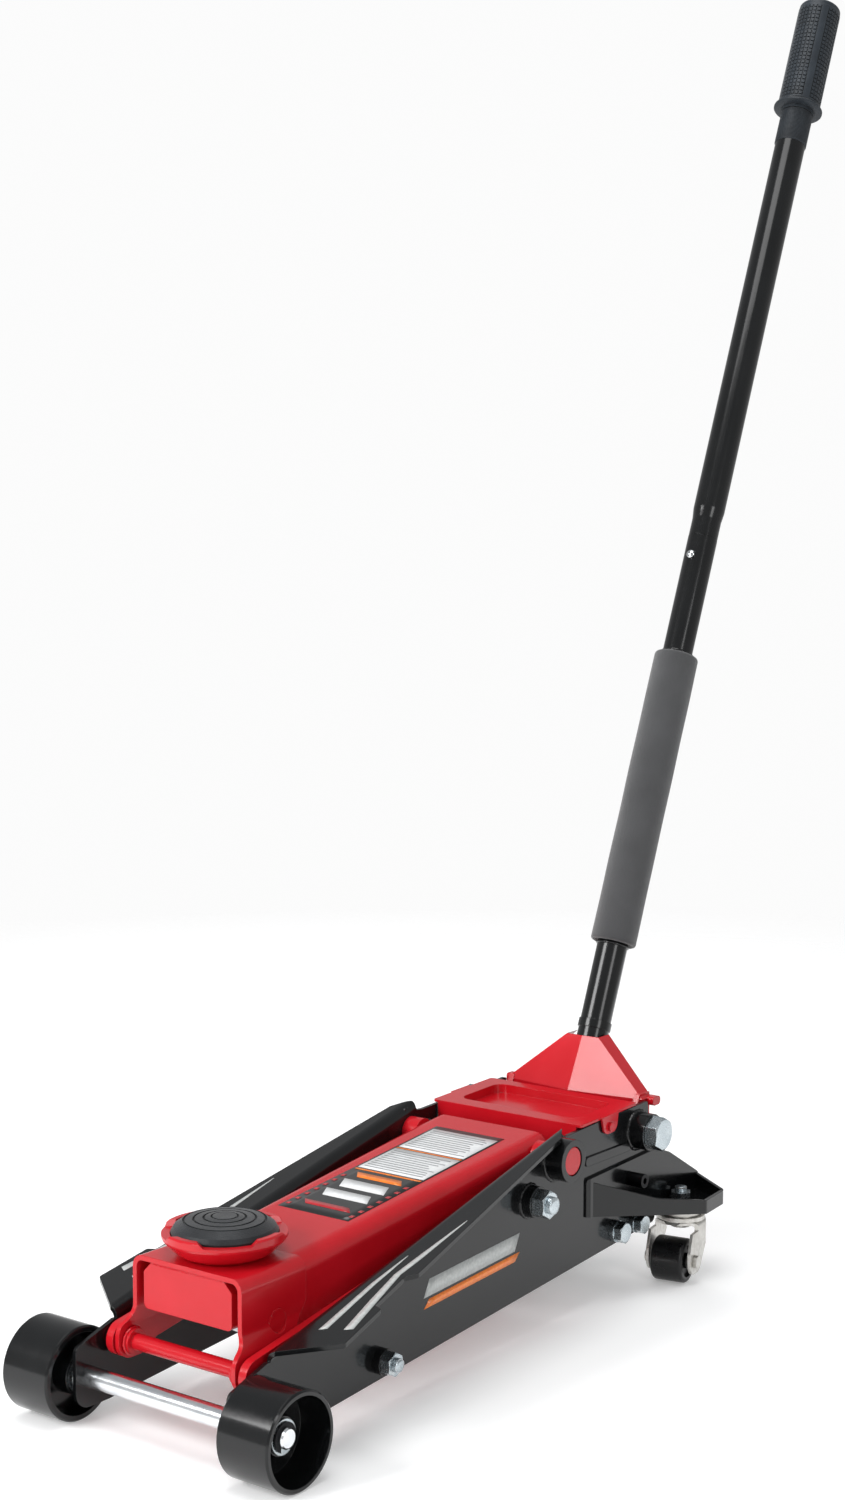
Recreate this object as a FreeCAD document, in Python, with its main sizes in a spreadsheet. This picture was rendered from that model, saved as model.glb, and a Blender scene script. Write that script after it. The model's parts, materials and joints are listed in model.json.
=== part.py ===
import FreeCAD, Part
import Sketcher
import math
import os

# Hydraulic floor jack: a low wheeled frame, a lifting arm with a self-levelling saddle head, a power unit
# between the side plates and a long handle in a pivoting yoke.
# Millimetres. The document's origin is on the floor under the middle of the front axle; the files are
# written from an origin at the middle of the footprint, frame_back further back. +X is the right side
# seen from the front, +Y points from the front axle to the handle end, +Z is up.

V = FreeCAD.Vector
X_AXIS = V(1, 0, 0)
Y_AXIS = V(0, 1, 0)
Z_AXIS = V(0, 0, 1)

doc = FreeCAD.newDocument("FloorJack")
sheet = doc.addObject("Spreadsheet::Sheet", "Sizes")

DRIVING_SIZES = {
    # front axle and wheels
    "wheel_radius": 41, "wheel_width": 54, "wheel_outer": 150, "axle_radius": 9, "axle_half": 137.5,
    "running_gap": 0.06, "fixed_gap": 0.03,
    # from the front axle back to the middle of the footprint
    "frame_back": 550.78,
    # side plates
    "plate_outer": 89.5, "plate_gauge": 4, "flange_slope": 13.3, "flange_height": 84.5, "flange_bend": 10,
    "flange_nose": 140.5, "flange_start": 66, "flange_finish": 443, "flange_tail": 101,
    "plate_top": 183, "plate_rear": 612, "belly_height": 17.5, "belly_slope": 0.067,
    # lifting arm, saddle head and levelling links
    "pivot_y": 446, "pivot_z": 163.5, "journal_radius": 14, "core_radius": 9.5, "boss_face": 110,
    "pin_y": 73, "pin_z": 101, "pin_radius": 10, "link_shift_y": -44.5, "link_shift_z": -31.5,
    "head_half": 62, "head_gauge": 4.5, "head_front": 29, "head_rear": 110, "head_top": 145.6,
    "arm_front_half": 56.8, "arm_rear_half": 69, "arm_gauge": 4.5, "arm_rear": 462,
    "arm_top_front": 144.5, "arm_top_rear": 180.5,
    "link_inner": 71.5, "link_gauge": 8, "link_eye": 15, "link_pin_radius": 7, "stud_radius": 8,
    # saddle
    "saddle_y": 77, "saddle_radius": 54, "saddle_foot": 146, "saddle_rim": 169, "pad_top": 178,
    "pad_radius": 44.5, "post_radius": 14,
    # ram and pump
    "crank_radius": 70, "crank_half_swing": 32, "ram_z": 98.8, "ram_radius": 15, "cylinder_radius": 24,
    "pump_y": 617, "plunger_radius": 8, "block_top": 100,
    # front tie rod
    "tie_y": 175.5, "tie_z": 43, "tie_radius": 6,
    # yoke and handle
    "yoke_y": 593, "yoke_z": 161, "yoke_pin_radius": 10, "handle_lean": 22.6, "handle_foot": 548.1,
    "tube_radius": 16.2, "tube_wall": 2.2, "upper_tube_radius": 17.3, "foam_radius": 24,
    "grip_radius": 24.3, "grip_flange": 28, "socket_radius": 19.5,
    # rear casters
    "caster_x": 105, "caster_y": 653, "caster_seat": 73, "caster_trail": 22, "caster_radius": 22.5,
    "caster_width": 34, "caster_turn": 10, "fork_half": 24, "fork_gauge": 3,
}

for row, (alias, number) in enumerate(DRIVING_SIZES.items(), start=1):
    sheet.set(f"A{row}", alias)
    sheet.set(f"B{row}", str(number))
    sheet.setAlias(f"B{row}", alias)
doc.recompute()


def size(alias):
    """A driving dimension, read from the spreadsheet."""
    return float(getattr(sheet, alias))


nodes = []


def node(item, label):
    """Names a finished sub-part and puts it on the list of pieces to write."""
    item.Label = label
    nodes.append(item)
    return item


# ---------------------------------------------------------------- shared helpers

def bind(item, **expressions):
    """Binds properties to spreadsheet expressions; double underscores in a name stand for dots."""
    for name, expression in expressions.items():
        item.setExpression(name.replace("__", "."), expression)
    return item


def turned(item, axis, degrees):
    """Turns an object about an axis through its own base point."""
    item.Placement = FreeCAD.Placement(item.Placement.Base, FreeCAD.Rotation(axis, degrees))
    return item


def boolean(kind, name, base, tool):
    result = doc.addObject(kind, name)
    result.Base = base
    result.Tool = tool
    return result


def cut(name, base, tool):
    return boolean("Part::Cut", name, base, tool)


def common(name, base, tool):
    return boolean("Part::Common", name, base, tool)


def fuse(name, *items):
    result = doc.addObject("Part::MultiFuse", name)
    result.Shapes = list(items)
    return result


def group(name, *items):
    """Several separate solids kept together as one sub-part."""
    result = doc.addObject("Part::Compound", name)
    result.Links = list(items)
    return result


def mirrored(name, source):
    result = doc.addObject("Part::Mirroring", name)
    result.Source = source
    result.Base = V(0, 0, 0)
    result.Normal = X_AXIS
    return result


def both_sides(label, source):
    """A sub-part made of a right-hand solid and its mirror image."""
    return node(group(label + "_pair", source, mirrored(label + "_twin", source)), label)


def rod_x(name, radius, start, finish, y, z):
    """A round bar along X between two X positions; every argument after the name is an expression."""
    rod = doc.addObject("Part::Cylinder", name)
    turned(rod, Y_AXIS, 90)
    return bind(rod, Radius=radius, Height=f"({finish}) - ({start})",
                Placement__Base__x=start, Placement__Base__y=y, Placement__Base__z=z)


def rod_z(name, radius, low, high, x, y):
    """A round bar along Z between two heights."""
    rod = doc.addObject("Part::Cylinder", name)
    return bind(rod, Radius=radius, Height=f"({high}) - ({low})",
                Placement__Base__x=x, Placement__Base__y=y, Placement__Base__z=low)


def rod_y(name, radius, start, finish, x, z):
    """A round bar along Y between two Y positions."""
    rod = doc.addObject("Part::Cylinder", name)
    turned(rod, X_AXIS, -90)
    return bind(rod, Radius=radius, Height=f"({finish}) - ({start})",
                Placement__Base__x=x, Placement__Base__y=start, Placement__Base__z=z)


def box(name, x0, x1, y0, y1, z0, z1):
    block = doc.addObject("Part::Box", name)
    return bind(block, Length=f"({x1}) - ({x0})", Width=f"({y1}) - ({y0})", Height=f"({z1}) - ({z0})",
                Placement__Base__x=x0, Placement__Base__y=y0, Placement__Base__z=z0)


def hexagon_x(name, across_flats, start, finish, y, z):
    """A hexagon head or nut with its axis along X and its outer corners chamfered."""
    prism = doc.addObject("Part::Prism", name + "_prism")
    prism.Polygon = 6
    turned(prism, Y_AXIS, 90)
    bind(prism, Circumradius=f"({across_flats}) / 1.7320508", Height=f"({finish}) - ({start})",
         Placement__Base__x=start, Placement__Base__y=y, Placement__Base__z=z)
    cone = doc.addObject("Part::Cone", name + "_crown")
    turned(cone, Y_AXIS, 90)
    bind(cone, Radius1=f"({across_flats}) * 0.5 + (({finish}) - ({start})) * 1.8",
         Radius2=f"({across_flats}) * 0.49",
         Height=f"({finish}) - ({start})",
         Placement__Base__x=start, Placement__Base__y=y, Placement__Base__z=z)
    return common(name, prism, cone)


def origin_plane(body, role):
    return next(feature for feature in body.Origin.OriginFeatures if feature.Role == role)


def profile(body, name, role, corners):
    """A closed straight-sided sketch on one of the body's own planes; corners are pairs of expressions."""
    sketch = body.newObject("Sketcher::SketchObject", name)
    sketch.AttachmentSupport = [(origin_plane(body, role), "")]
    sketch.MapMode = "FlatFace"
    points = [V(float(sketch.evalExpression(u)), float(sketch.evalExpression(v)), 0) for u, v in corners]
    for index, point in enumerate(points):
        sketch.addGeometry(Part.LineSegment(point, points[(index + 1) % len(points)]))
    for index in range(len(points)):
        following = (index + 1) % len(points)
        sketch.addConstraint(Sketcher.Constraint("Coincident", index, 2, following, 1))
    for index, (u, v) in enumerate(corners):
        across = sketch.addConstraint(Sketcher.Constraint("DistanceX", -1, 1, index, 1, points[index].x))
        sketch.setExpression(f"Constraints[{across}]", u)
        upward = sketch.addConstraint(Sketcher.Constraint("DistanceY", -1, 1, index, 1, points[index].y))
        sketch.setExpression(f"Constraints[{upward}]", v)
    return sketch


def new_body(name):
    return doc.addObject("PartDesign::Body", name)


def revolved(body, name, role, axis, corners):
    """Spins a profile a full turn about one of the sketch's own axes."""
    sketch = profile(body, name + "_profile", role, corners)
    feature = body.newObject("PartDesign::Revolution", name)
    feature.Profile = sketch
    feature.ReferenceAxis = (sketch, [axis])
    feature.Angle = 360
    return feature


def padded(body, name, role, corners, length, symmetric=False):
    sketch = profile(body, name + "_profile", role, corners)
    feature = body.newObject("PartDesign::Pad", name)
    feature.Profile = sketch
    feature.setExpression("Length", length)
    feature.Midplane = symmetric
    return feature


def rounded_edges(body, name, base, radius, wanted):
    """Fillets the edges of a feature that a test picks out."""
    doc.recompute()
    picked = [f"Edge{i}" for i, edge in enumerate(base.Shape.Edges, start=1) if wanted(edge)]
    feature = body.newObject("PartDesign::Fillet", name)
    feature.Base = (base, picked)
    feature.Radius = radius
    return feature


def is_circle(edge, radius):
    return isinstance(edge.Curve, Part.Circle) and abs(edge.Curve.Radius - radius) < 0.01


def rounded_wire(corners, lift):
    """A closed outline from (u, v, radius) corners; lift turns a (u, v) pair into a point in space."""
    count = len(corners)
    flat = [V(u, v, 0) for u, v, radius in corners]
    starts = []
    arcs = []
    for index, (u, v, radius) in enumerate(corners):
        corner = flat[index]
        back = (flat[index - 1] - corner).normalize()
        ahead = (flat[(index + 1) % count] - corner).normalize()
        if radius <= 0:
            starts.append((corner, corner))
            arcs.append(None)
            continue
        half = back.getAngle(ahead) / 2
        reach = radius / math.tan(half)
        centre = corner + (back + ahead).normalize() * (radius / math.sin(half))
        middle = centre + (corner - centre).normalize() * radius
        starts.append((corner + back * reach, corner + ahead * reach))
        arcs.append(middle)
    edges = []
    for index in range(count):
        entry, leave = starts[index]
        if arcs[index] is not None:
            edges.append(Part.Arc(lift(entry), lift(arcs[index]), lift(leave)).toShape())
        next_entry = starts[(index + 1) % count][0]
        if (next_entry - leave).Length > 1e-6:
            edges.append(Part.LineSegment(lift(leave), lift(next_entry)).toShape())
    return Part.Wire(edges)


def slab_x(corners, x0, x1):
    """A plate standing across X: corners are (y, z, radius)."""
    wire = rounded_wire(corners, lambda p: V(x0, p.x, p.y))
    return Part.Face(wire).extrude(V(x1 - x0, 0, 0))


def slab_y(corners, y0, y1):
    """A plate standing across Y: corners are (x, z, radius)."""
    wire = rounded_wire(corners, lambda p: V(p.x, y0, p.y))
    return Part.Face(wire).extrude(V(0, y1 - y0, 0))


def slab_z(corners, z0, z1):
    """A flat plate: corners are (x, y, radius)."""
    wire = rounded_wire(corners, lambda p: V(p.x, p.y, z0))
    return Part.Face(wire).extrude(V(0, 0, z1 - z0))


def bar(radius, start, axis, length):
    return Part.makeCylinder(radius, length, start, axis)


def shaped(label, shape):
    """A sub-part whose shape is computed here."""
    item = doc.addObject("Part::Feature", label + "_shape")
    item.Shape = shape
    return node(item, label)


def flipped(shape):
    return shape.mirror(V(0, 0, 0), X_AXIS)


RIGHT_AND_LEFT = (("right", 1), ("left", -1))

# Places that several sub-parts share.
plate_outer = size("plate_outer")
plate_inner = plate_outer - size("plate_gauge")
pivot = V(0, size("pivot_y"), size("pivot_z"))
pin = V(0, size("pin_y"), size("pin_z"))
link_shift = V(0, size("link_shift_y"), size("link_shift_z"))
frame_link = pivot + link_shift
head_link = pin + link_shift
yoke_pivot = V(0, size("yoke_y"), size("yoke_z"))
lean = math.radians(size("handle_lean"))
handle_axis = V(0, math.sin(lean), math.cos(lean))
crank_swing = math.radians(size("crank_half_swing"))
CRANK_PIN_RADIUS = 8
# Screw and bolt positions on the side plates, as (y, z).
UNIT_BOLTS = ((552, 67), (588, 67))
BRACKET_SCREW = (574, 116)
TRAY_SCREW = (538, 175.5)
SPRING_X = 53
ANCHOR_Y = 545
crank_pin_at = pivot + V(0, math.sin(crank_swing), -math.cos(crank_swing)) * size("crank_radius")

# The same places as expressions for bound properties.
FRAME_LINK_Y = "Sizes.pivot_y + Sizes.link_shift_y"
FRAME_LINK_Z = "Sizes.pivot_z + Sizes.link_shift_z"
HEAD_LINK_Y = "Sizes.pin_y + Sizes.link_shift_y"
HEAD_LINK_Z = "Sizes.pin_z + Sizes.link_shift_z"
PLATE_INNER = "Sizes.plate_outer - Sizes.plate_gauge"


def handle_point(height):
    """The point of the handle's axis at a height above the floor."""
    return V(0, size("handle_foot") + height * math.tan(lean), height)


def belly(y):
    """Height of the side plate's lower edge."""
    return size("belly_height") + size("belly_slope") * y


def flange_z(y):
    """Height of the flange's upper face."""
    return size("flange_height") + y * math.tan(math.radians(size("flange_slope")))


# ---------------------------------------------------------------- side plates

def side_plate():
    """Right plate: upright wall, flange flared outwards along the rising top edge, pressed rib and holes."""
    gauge = size("plate_gauge")
    bend = size("flange_bend")
    rear = size("plate_rear")
    wall_end = size("flange_finish") + 12
    wall = slab_x([
        (22, belly(0) - 2.7, 20), (-16, belly(0) - 2.7, 15), (-16, 69, 7), (30, 83, 6),
        (34, flange_z(34) - bend, 4), (wall_end, flange_z(wall_end) - bend, 3),
        (wall_end + 12, size("plate_top") - 2, 3), (rear, size("plate_top") + 4, 3),
        (rear + 16, belly(rear + 16), 6),
    ], plate_inner, plate_outer)
    # The flange's cross-section is a hook: up the wall, round the bend and out level.
    reach = size("flange_nose") + 20
    slope = math.radians(size("flange_slope"))
    along = V(0, 1, math.tan(slope))
    start = 20
    top = flange_z(start)
    section = rounded_wire([
        (plate_inner, top - bend - 14, 0), (plate_outer, top - bend - 14, 0),
        (plate_outer, top - gauge, bend - gauge), (reach, top - gauge, 0),
        (reach, top, 0), (plate_inner, top, bend),
    ], lambda p: V(p.x, start, p.y))
    hook = Part.Face(section).extrude(along * (wall_end + 30 - start))
    nose_x = size("flange_nose")
    front = size("flange_start")
    finish = size("flange_finish")
    tail = size("flange_tail")
    fall = (nose_x - tail) / (finish - front)
    edge = [(plate_inner - 1, 33, 0), (plate_outer + 4, 33, 3), (nose_x, front, 3)]
    edge += [(nose_x - fall * 54, front + 54, 2), (nose_x - fall * 54 - 8.5, front + 57, 2)]
    edge += [(nose_x - fall * 104 - 8.5, front + 104, 2), (nose_x - fall * 112, front + 113, 3)]
    edge += [(tail + 2, finish - 8, 3), (plate_outer + 1, wall_end, 3), (plate_inner - 1, wall_end, 0)]
    hook = hook.common(slab_z(edge, 0, 260))
    plate = wall.fuse(hook).removeSplitter()
    for centre, radius in (
        (V(0, 0, size("wheel_radius")), size("axle_radius") + size("fixed_gap")),
        (pivot, size("journal_radius") + size("running_gap")),
        (frame_link, size("stud_radius") + size("fixed_gap")),
        (V(0, size("tie_y"), size("tie_z")), size("tie_radius") + size("fixed_gap")),
        (yoke_pivot, size("yoke_pin_radius") + size("fixed_gap")),
        (V(0, *UNIT_BOLTS[0]), 6.03), (V(0, *UNIT_BOLTS[1]), 6.03), (V(0, *BRACKET_SCREW), 4.03),
        (V(0, *TRAY_SCREW), 2.53),
    ):
        plate = plate.cut(bar(radius, V(plate_inner - 5, centre.y, centre.z), X_AXIS, 20))
    # Stiffening rib pressed outwards behind the arm pivot.
    ridge = slab_x([(496, 143.5, 4), (496, 152.5, 4), (576, 152.5, 4), (576, 143.5, 4)],
                   plate_outer - 1, plate_outer + 2)
    return plate.fuse(ridge).removeSplitter()


right_plate = side_plate()
right_plate_item = shaped("side_plate_right", right_plate)
shaped("side_plate_left", flipped(right_plate))

# ---------------------------------------------------------------- front axle and wheels

axle = new_body("front_axle_body")
axle.Placement = FreeCAD.Placement(V(0, 0, 0), FreeCAD.Rotation())
revolved(axle, "axle_turned", "XZ_Plane", "H_Axis", [
    ("-Sizes.axle_half", "0"), ("Sizes.axle_half", "0"),
    ("Sizes.axle_half", "Sizes.axle_radius - 1.5"), ("Sizes.axle_half - 1.5", "Sizes.axle_radius"),
    ("Sizes.axle_half - 3.4", "Sizes.axle_radius"), ("Sizes.axle_half - 3.4", "Sizes.axle_radius - 1.6"),
    ("Sizes.axle_half - 5.1", "Sizes.axle_radius - 1.6"), ("Sizes.axle_half - 5.1", "Sizes.axle_radius"),
    ("-Sizes.axle_half + 5.1", "Sizes.axle_radius"), ("-Sizes.axle_half + 5.1", "Sizes.axle_radius - 1.6"),
    ("-Sizes.axle_half + 3.4", "Sizes.axle_radius - 1.6"), ("-Sizes.axle_half + 3.4", "Sizes.axle_radius"),
    ("-Sizes.axle_half + 1.5", "Sizes.axle_radius"), ("-Sizes.axle_half", "Sizes.axle_radius - 1.5"),
])
bind(axle, Placement__Base__z="Sizes.wheel_radius")
node(axle, "front_axle")


def ring_x(name, outer, inner, start, finish, y, z):
    """A washer, collar or boss with its axis along X."""
    disc = rod_x(name + "_disc", outer, start, finish, y, z)
    bore = rod_x(name + "_bore", inner, f"({start}) - 1", f"({finish}) + 1", y, z)
    return cut(name, disc, bore)


inner_washer = ring_x("inner_axle_washer", "16", "Sizes.axle_radius + Sizes.fixed_gap",
                      "Sizes.plate_outer + 0.3", "Sizes.wheel_outer - Sizes.wheel_width - 0.4",
                      "0", "Sizes.wheel_radius")
outer_washer = ring_x("outer_axle_washer", "14.5", "Sizes.axle_radius + Sizes.fixed_gap",
                      "Sizes.axle_half - 7.4", "Sizes.axle_half - 5.3", "0", "Sizes.wheel_radius")
both_sides("axle_washers", group("axle_washer_set", inner_washer, outer_washer))


def axle_clip():
    """Open retaining ring that snaps into the axle's groove."""
    x = size("axle_half") - 5
    centre = V(x, 0, size("wheel_radius"))
    ring = bar(12.5, centre, X_AXIS, 1.5).cut(bar(size("axle_radius") - 1.5, centre - X_AXIS, X_AXIS, 4))
    mouth = Part.makeBox(4, 11, 20, V(x - 1, -5.5, size("wheel_radius") - 20))
    return ring.cut(mouth)


shaped("axle_clips", Part.makeCompound([axle_clip(), flipped(axle_clip())]))


def front_wheel(side, sign):
    """Wide steel roller wheel, dished on both faces, with a turned hub."""
    body = new_body("front_wheel_" + side + "_body")
    outer, inner = "Sizes.wheel_outer", "Sizes.wheel_outer - Sizes.wheel_width"
    revolved(body, "wheel_turned_" + side, "XZ_Plane", "H_Axis", [
        (inner, "Sizes.wheel_radius - 1.5"), (inner + " + 1.5", "Sizes.wheel_radius"),
        (outer + " - 1.5", "Sizes.wheel_radius"), (outer, "Sizes.wheel_radius - 1.5"),
        (outer, "Sizes.wheel_radius - 4.5"), (outer + " - 30", "Sizes.wheel_radius - 7"),
        (outer + " - 30", "19"), (outer + " - 22", "17"),
        (outer + " - 20.2", "16"), (outer + " - 20.2", "Sizes.axle_radius + Sizes.running_gap"),
        (inner, "Sizes.axle_radius + Sizes.running_gap"), (inner, "18"),
        (outer + " - 38", "19"), (outer + " - 38", "Sizes.wheel_radius - 7"),
        (inner, "Sizes.wheel_radius - 5.5"),
    ])
    body.Placement = FreeCAD.Placement(V(0, 0, 0), FreeCAD.Rotation(Z_AXIS, 0 if sign > 0 else 180))
    bind(body, Placement__Base__z="Sizes.wheel_radius")
    return node(body, "front_wheel_" + side)


for side, sign in RIGHT_AND_LEFT:
    front_wheel(side, sign)

# ---------------------------------------------------------------- front tie rod

TIE_Y, TIE_Z = "Sizes.tie_y", "Sizes.tie_z"
tie_rod = fuse("tie_rod_body",
               rod_x("tie_rod_shaft", "9", f"-({PLATE_INNER}) + 0.1", f"{PLATE_INNER} - 0.1", TIE_Y, TIE_Z),
               rod_x("tie_rod_ends", "Sizes.tie_radius", "-Sizes.plate_outer - 22", "Sizes.plate_outer + 22",
                     TIE_Y, TIE_Z))
node(tie_rod, "front_tie_rod")
tie_nut = cut("tie_nut",
              hexagon_x("tie_nut_hex", "19", "Sizes.plate_outer + 8.2", "Sizes.plate_outer + 18", TIE_Y,
                        TIE_Z),
              rod_x("tie_nut_hole", "Sizes.tie_radius + Sizes.fixed_gap", "Sizes.plate_outer",
                    "Sizes.plate_outer + 30", TIE_Y, TIE_Z))
both_sides("tie_rod_nuts", tie_nut)

# ---------------------------------------------------------------- welded bosses, studs and nuts on the plates

both_sides("arm_pivot_bosses",
           cut("fitted_arm_boss",
               ring_x("arm_boss", "20.5", "Sizes.journal_radius + Sizes.running_gap", "Sizes.plate_outer",
                      "Sizes.boss_face", "Sizes.pivot_y", "Sizes.pivot_z"),
               right_plate_item))
stud_boss = ring_x("stud_boss", "15", "Sizes.stud_radius + Sizes.fixed_gap", "Sizes.plate_outer",
                   "Sizes.plate_outer + 11", FRAME_LINK_Y, FRAME_LINK_Z)
tie_boss = ring_x("tie_boss", "11.5", "Sizes.tie_radius + Sizes.fixed_gap", "Sizes.plate_outer",
                  "Sizes.plate_outer + 8", TIE_Y, TIE_Z)
both_sides("stud_bosses", group("stud_boss_set", stud_boss, tie_boss))
both_sides("handle_pivot_bosses",
           ring_x("yoke_boss", "18.5", "Sizes.yoke_pin_radius + Sizes.fixed_gap", "Sizes.plate_outer",
                  "Sizes.plate_outer + 17.5", "Sizes.yoke_y", "Sizes.yoke_z"))

both_sides("link_pivot_studs",
           rod_x("link_stud", "Sizes.stud_radius", "Sizes.link_inner - 0.5", "Sizes.plate_outer + 29",
                 FRAME_LINK_Y, FRAME_LINK_Z))
stud_nut = cut("stud_nut",
               hexagon_x("stud_nut_hex", "24", "Sizes.plate_outer + 11.2", "Sizes.plate_outer + 24.5",
                         FRAME_LINK_Y, FRAME_LINK_Z),
               rod_x("stud_nut_hole", "Sizes.stud_radius + Sizes.fixed_gap", "Sizes.plate_outer",
                     "Sizes.plate_outer + 40", FRAME_LINK_Y, FRAME_LINK_Z))
both_sides("link_pivot_nuts", stud_nut)

handle_bolt = fuse("handle_bolt_body",
                   rod_x("handle_bolt_shank", "Sizes.yoke_pin_radius", "70", "Sizes.plate_outer + 18.5",
                         "Sizes.yoke_y", "Sizes.yoke_z"),
                   hexagon_x("handle_bolt_hex", "30", "Sizes.plate_outer + 17.7", "Sizes.plate_outer + 31.5",
                             "Sizes.yoke_y", "Sizes.yoke_z"))
both_sides("handle_pivot_bolts", handle_bolt)

# ---------------------------------------------------------------- lifting arm


def arm_half(y):
    """Half the arm's outer width, which grows towards the rear."""
    front, rear = size("arm_front_half"), size("arm_rear_half")
    share = (y - size("head_rear")) / (size("pivot_y") - 20 - size("head_rear"))
    return front + (rear - front) * min(max(share, 0), 1)


def arm_top(y):
    front, rear = size("arm_top_front"), size("arm_top_rear")
    return front + (rear - front) * (y - size("head_rear")) / (size("arm_rear") - size("head_rear"))


def arm_section(y, inset):
    """Rounded-top outline of the arm across Y, inset from its outer skin."""
    half = arm_half(y) - inset
    top = arm_top(y) - inset
    corner = 15 - inset
    low = 40
    return rounded_wire([(-half, low, 0), (half, low, 0), (half, top, corner), (-half, top, corner)],
                        lambda p: V(p.x, y, p.y))


def lift_arm():
    """Inverted channel folded from plate, tapering to the front, with round ends at both pivots."""
    gauge = size("arm_gauge")
    front = size("pin_y") - 20
    knee = size("head_rear")
    tail = size("pivot_y") - 20
    rear = size("arm_rear")
    lengths = []
    for start, finish in ((front, knee), (knee, tail), (tail, rear)):
        skin = Part.makeLoft([arm_section(start, 0), arm_section(finish, 0)], True, True)
        hollow = Part.makeLoft([arm_section(start, gauge), arm_section(finish, gauge)], True, True)
        lengths.append(skin.cut(hollow))
    channel = lengths[0].fuse(lengths[1:])
    side_view = slab_x([
        (size("pin_y") - 16, size("pin_z") - 16, 15.9), (size("pin_y") - 16, size("pin_z") + 16, 15.9),
        (size("pin_y") + 20, size("pin_z") + 20, 12), (knee + 0.5, 132, 3), (knee + 0.5, 190, 0),
        (rear, 190, 0), (rear, size("pivot_z") - 22, 20), (size("pivot_y") - 46, size("pivot_z") - 28, 20),
        (230, 92, 40), (size("pin_y") + 14, size("pin_z") - 16, 12),
    ], -100, 100)
    channel = channel.common(side_view).removeSplitter()
    for centre, radius in ((pin, size("pin_radius") + size("running_gap")),
                           (pivot, size("core_radius") + size("fixed_gap"))):
        channel = channel.cut(bar(radius, V(-100, centre.y, centre.z), X_AXIS, 200))
    return channel


shaped("lift_arm", lift_arm())

shaft = new_body("arm_pivot_shaft_body")
revolved(shaft, "pivot_shaft_turned", "XZ_Plane", "H_Axis", [
    ("-Sizes.boss_face + 0.8", "0"), ("Sizes.boss_face - 0.8", "0"),
    ("Sizes.boss_face - 0.8", "Sizes.journal_radius - 1"), ("Sizes.boss_face - 1.8", "Sizes.journal_radius"),
    ("Sizes.arm_rear_half + 0.1", "Sizes.journal_radius"), ("Sizes.arm_rear_half + 0.1", "Sizes.core_radius"),
    ("-Sizes.arm_rear_half - 0.1", "Sizes.core_radius"),
    ("-Sizes.arm_rear_half - 0.1", "Sizes.journal_radius"),
    ("-Sizes.boss_face + 1.8", "Sizes.journal_radius"),
    ("-Sizes.boss_face + 0.8", "Sizes.journal_radius - 1"),
])
bind(shaft, Placement__Base__y="Sizes.pivot_y", Placement__Base__z="Sizes.pivot_z")
node(shaft, "arm_pivot_shaft")


def crank_arms():
    """Two short levers that hang from the pivot shaft inside the arm and carry the crank pin."""
    swing = crank_pin_at - pivot
    angle = math.degrees(math.atan2(swing.y, -swing.z))
    upright = slab_x([
        (-15, -size("crank_radius") - 13, 13), (-17, 14, 13), (17, 14, 13),
        (15, -size("crank_radius") - 13, 13),
    ], 27, 37)
    upright = upright.cut(bar(size("core_radius") + size("fixed_gap"), V(20, 0, 0), X_AXIS, 30))
    upright.rotate(V(0, 0, 0), X_AXIS, angle)
    upright.translate(pivot)
    # The upper end is ground flat to sit under the arm's web.
    under_web = arm_top(size("pivot_y") - 20) - size("arm_gauge") - 0.2
    upright = upright.common(Part.makeBox(200, 300, under_web, V(-100, 350, 0)))
    cross_pin = bar(CRANK_PIN_RADIUS, crank_pin_at - X_AXIS * 58, X_AXIS, 116)
    return upright.fuse([flipped(upright), cross_pin]).removeSplitter()


shaped("arm_crank", crank_arms())

# ---------------------------------------------------------------- saddle head


def saddle_head():
    """Level channel with an open front whose side walls step outwards round the cross shaft."""
    gauge = size("head_gauge")
    half, top = size("head_half"), size("head_top")
    step = 6.3
    low = 40
    outer = rounded_wire([
        (-half - step, low, 0), (half + step, low, 0), (half + step, 84, 12), (half, 100, 12),
        (half, top, 11),
        (-half, top, 11), (-half, 100, 12), (-half - step, 84, 12),
    ], lambda p: V(p.x, size("head_front"), p.y))
    thin = half - gauge
    inner = rounded_wire([
        (-thin - step, low, 0), (thin + step, low, 0), (thin + step, 84, 8), (thin, 100, 8),
        (thin, top - gauge, 6.5), (-thin, top - gauge, 6.5), (-thin, 100, 8), (-thin - step, 84, 8),
    ], lambda p: V(p.x, size("head_front"), p.y))
    length = V(0, 140, 0)
    back = V(0, -40, 0)
    skin = Part.Face(outer).extrude(length)
    skin.translate(back)
    hollow = Part.Face(inner).extrude(length)
    hollow.translate(back)
    shell = skin.cut(hollow)
    lug_y, lug_z, lug = head_link.y, head_link.z, 15
    side_view = slab_x([
        (size("head_front"), top + 5, 0), (size("head_front"), 92, 14),
        (lug_y - lug, lug_z + lug - 2, 13), (lug_y - lug, lug_z - lug, 14.5),
        (lug_y + lug, lug_z - lug, 14.5),
        (size("pin_y") + 12, size("pin_z") - 19, 15), (size("head_rear"), size("pin_z") + 6, 12),
        (size("head_rear"), top + 5, 0),
    ], -90, 90)
    shell = shell.common(side_view)
    for centre, radius in ((pin, size("pin_radius")), (head_link, size("link_pin_radius"))):
        shell = shell.cut(bar(radius + size("fixed_gap"), V(-100, centre.y, centre.z), X_AXIS, 200))
    post = bar(size("post_radius") + size("running_gap"), V(0, size("saddle_y"), 130), Z_AXIS, 40)
    return shell.cut(post)


shaped("saddle_head", saddle_head())


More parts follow.
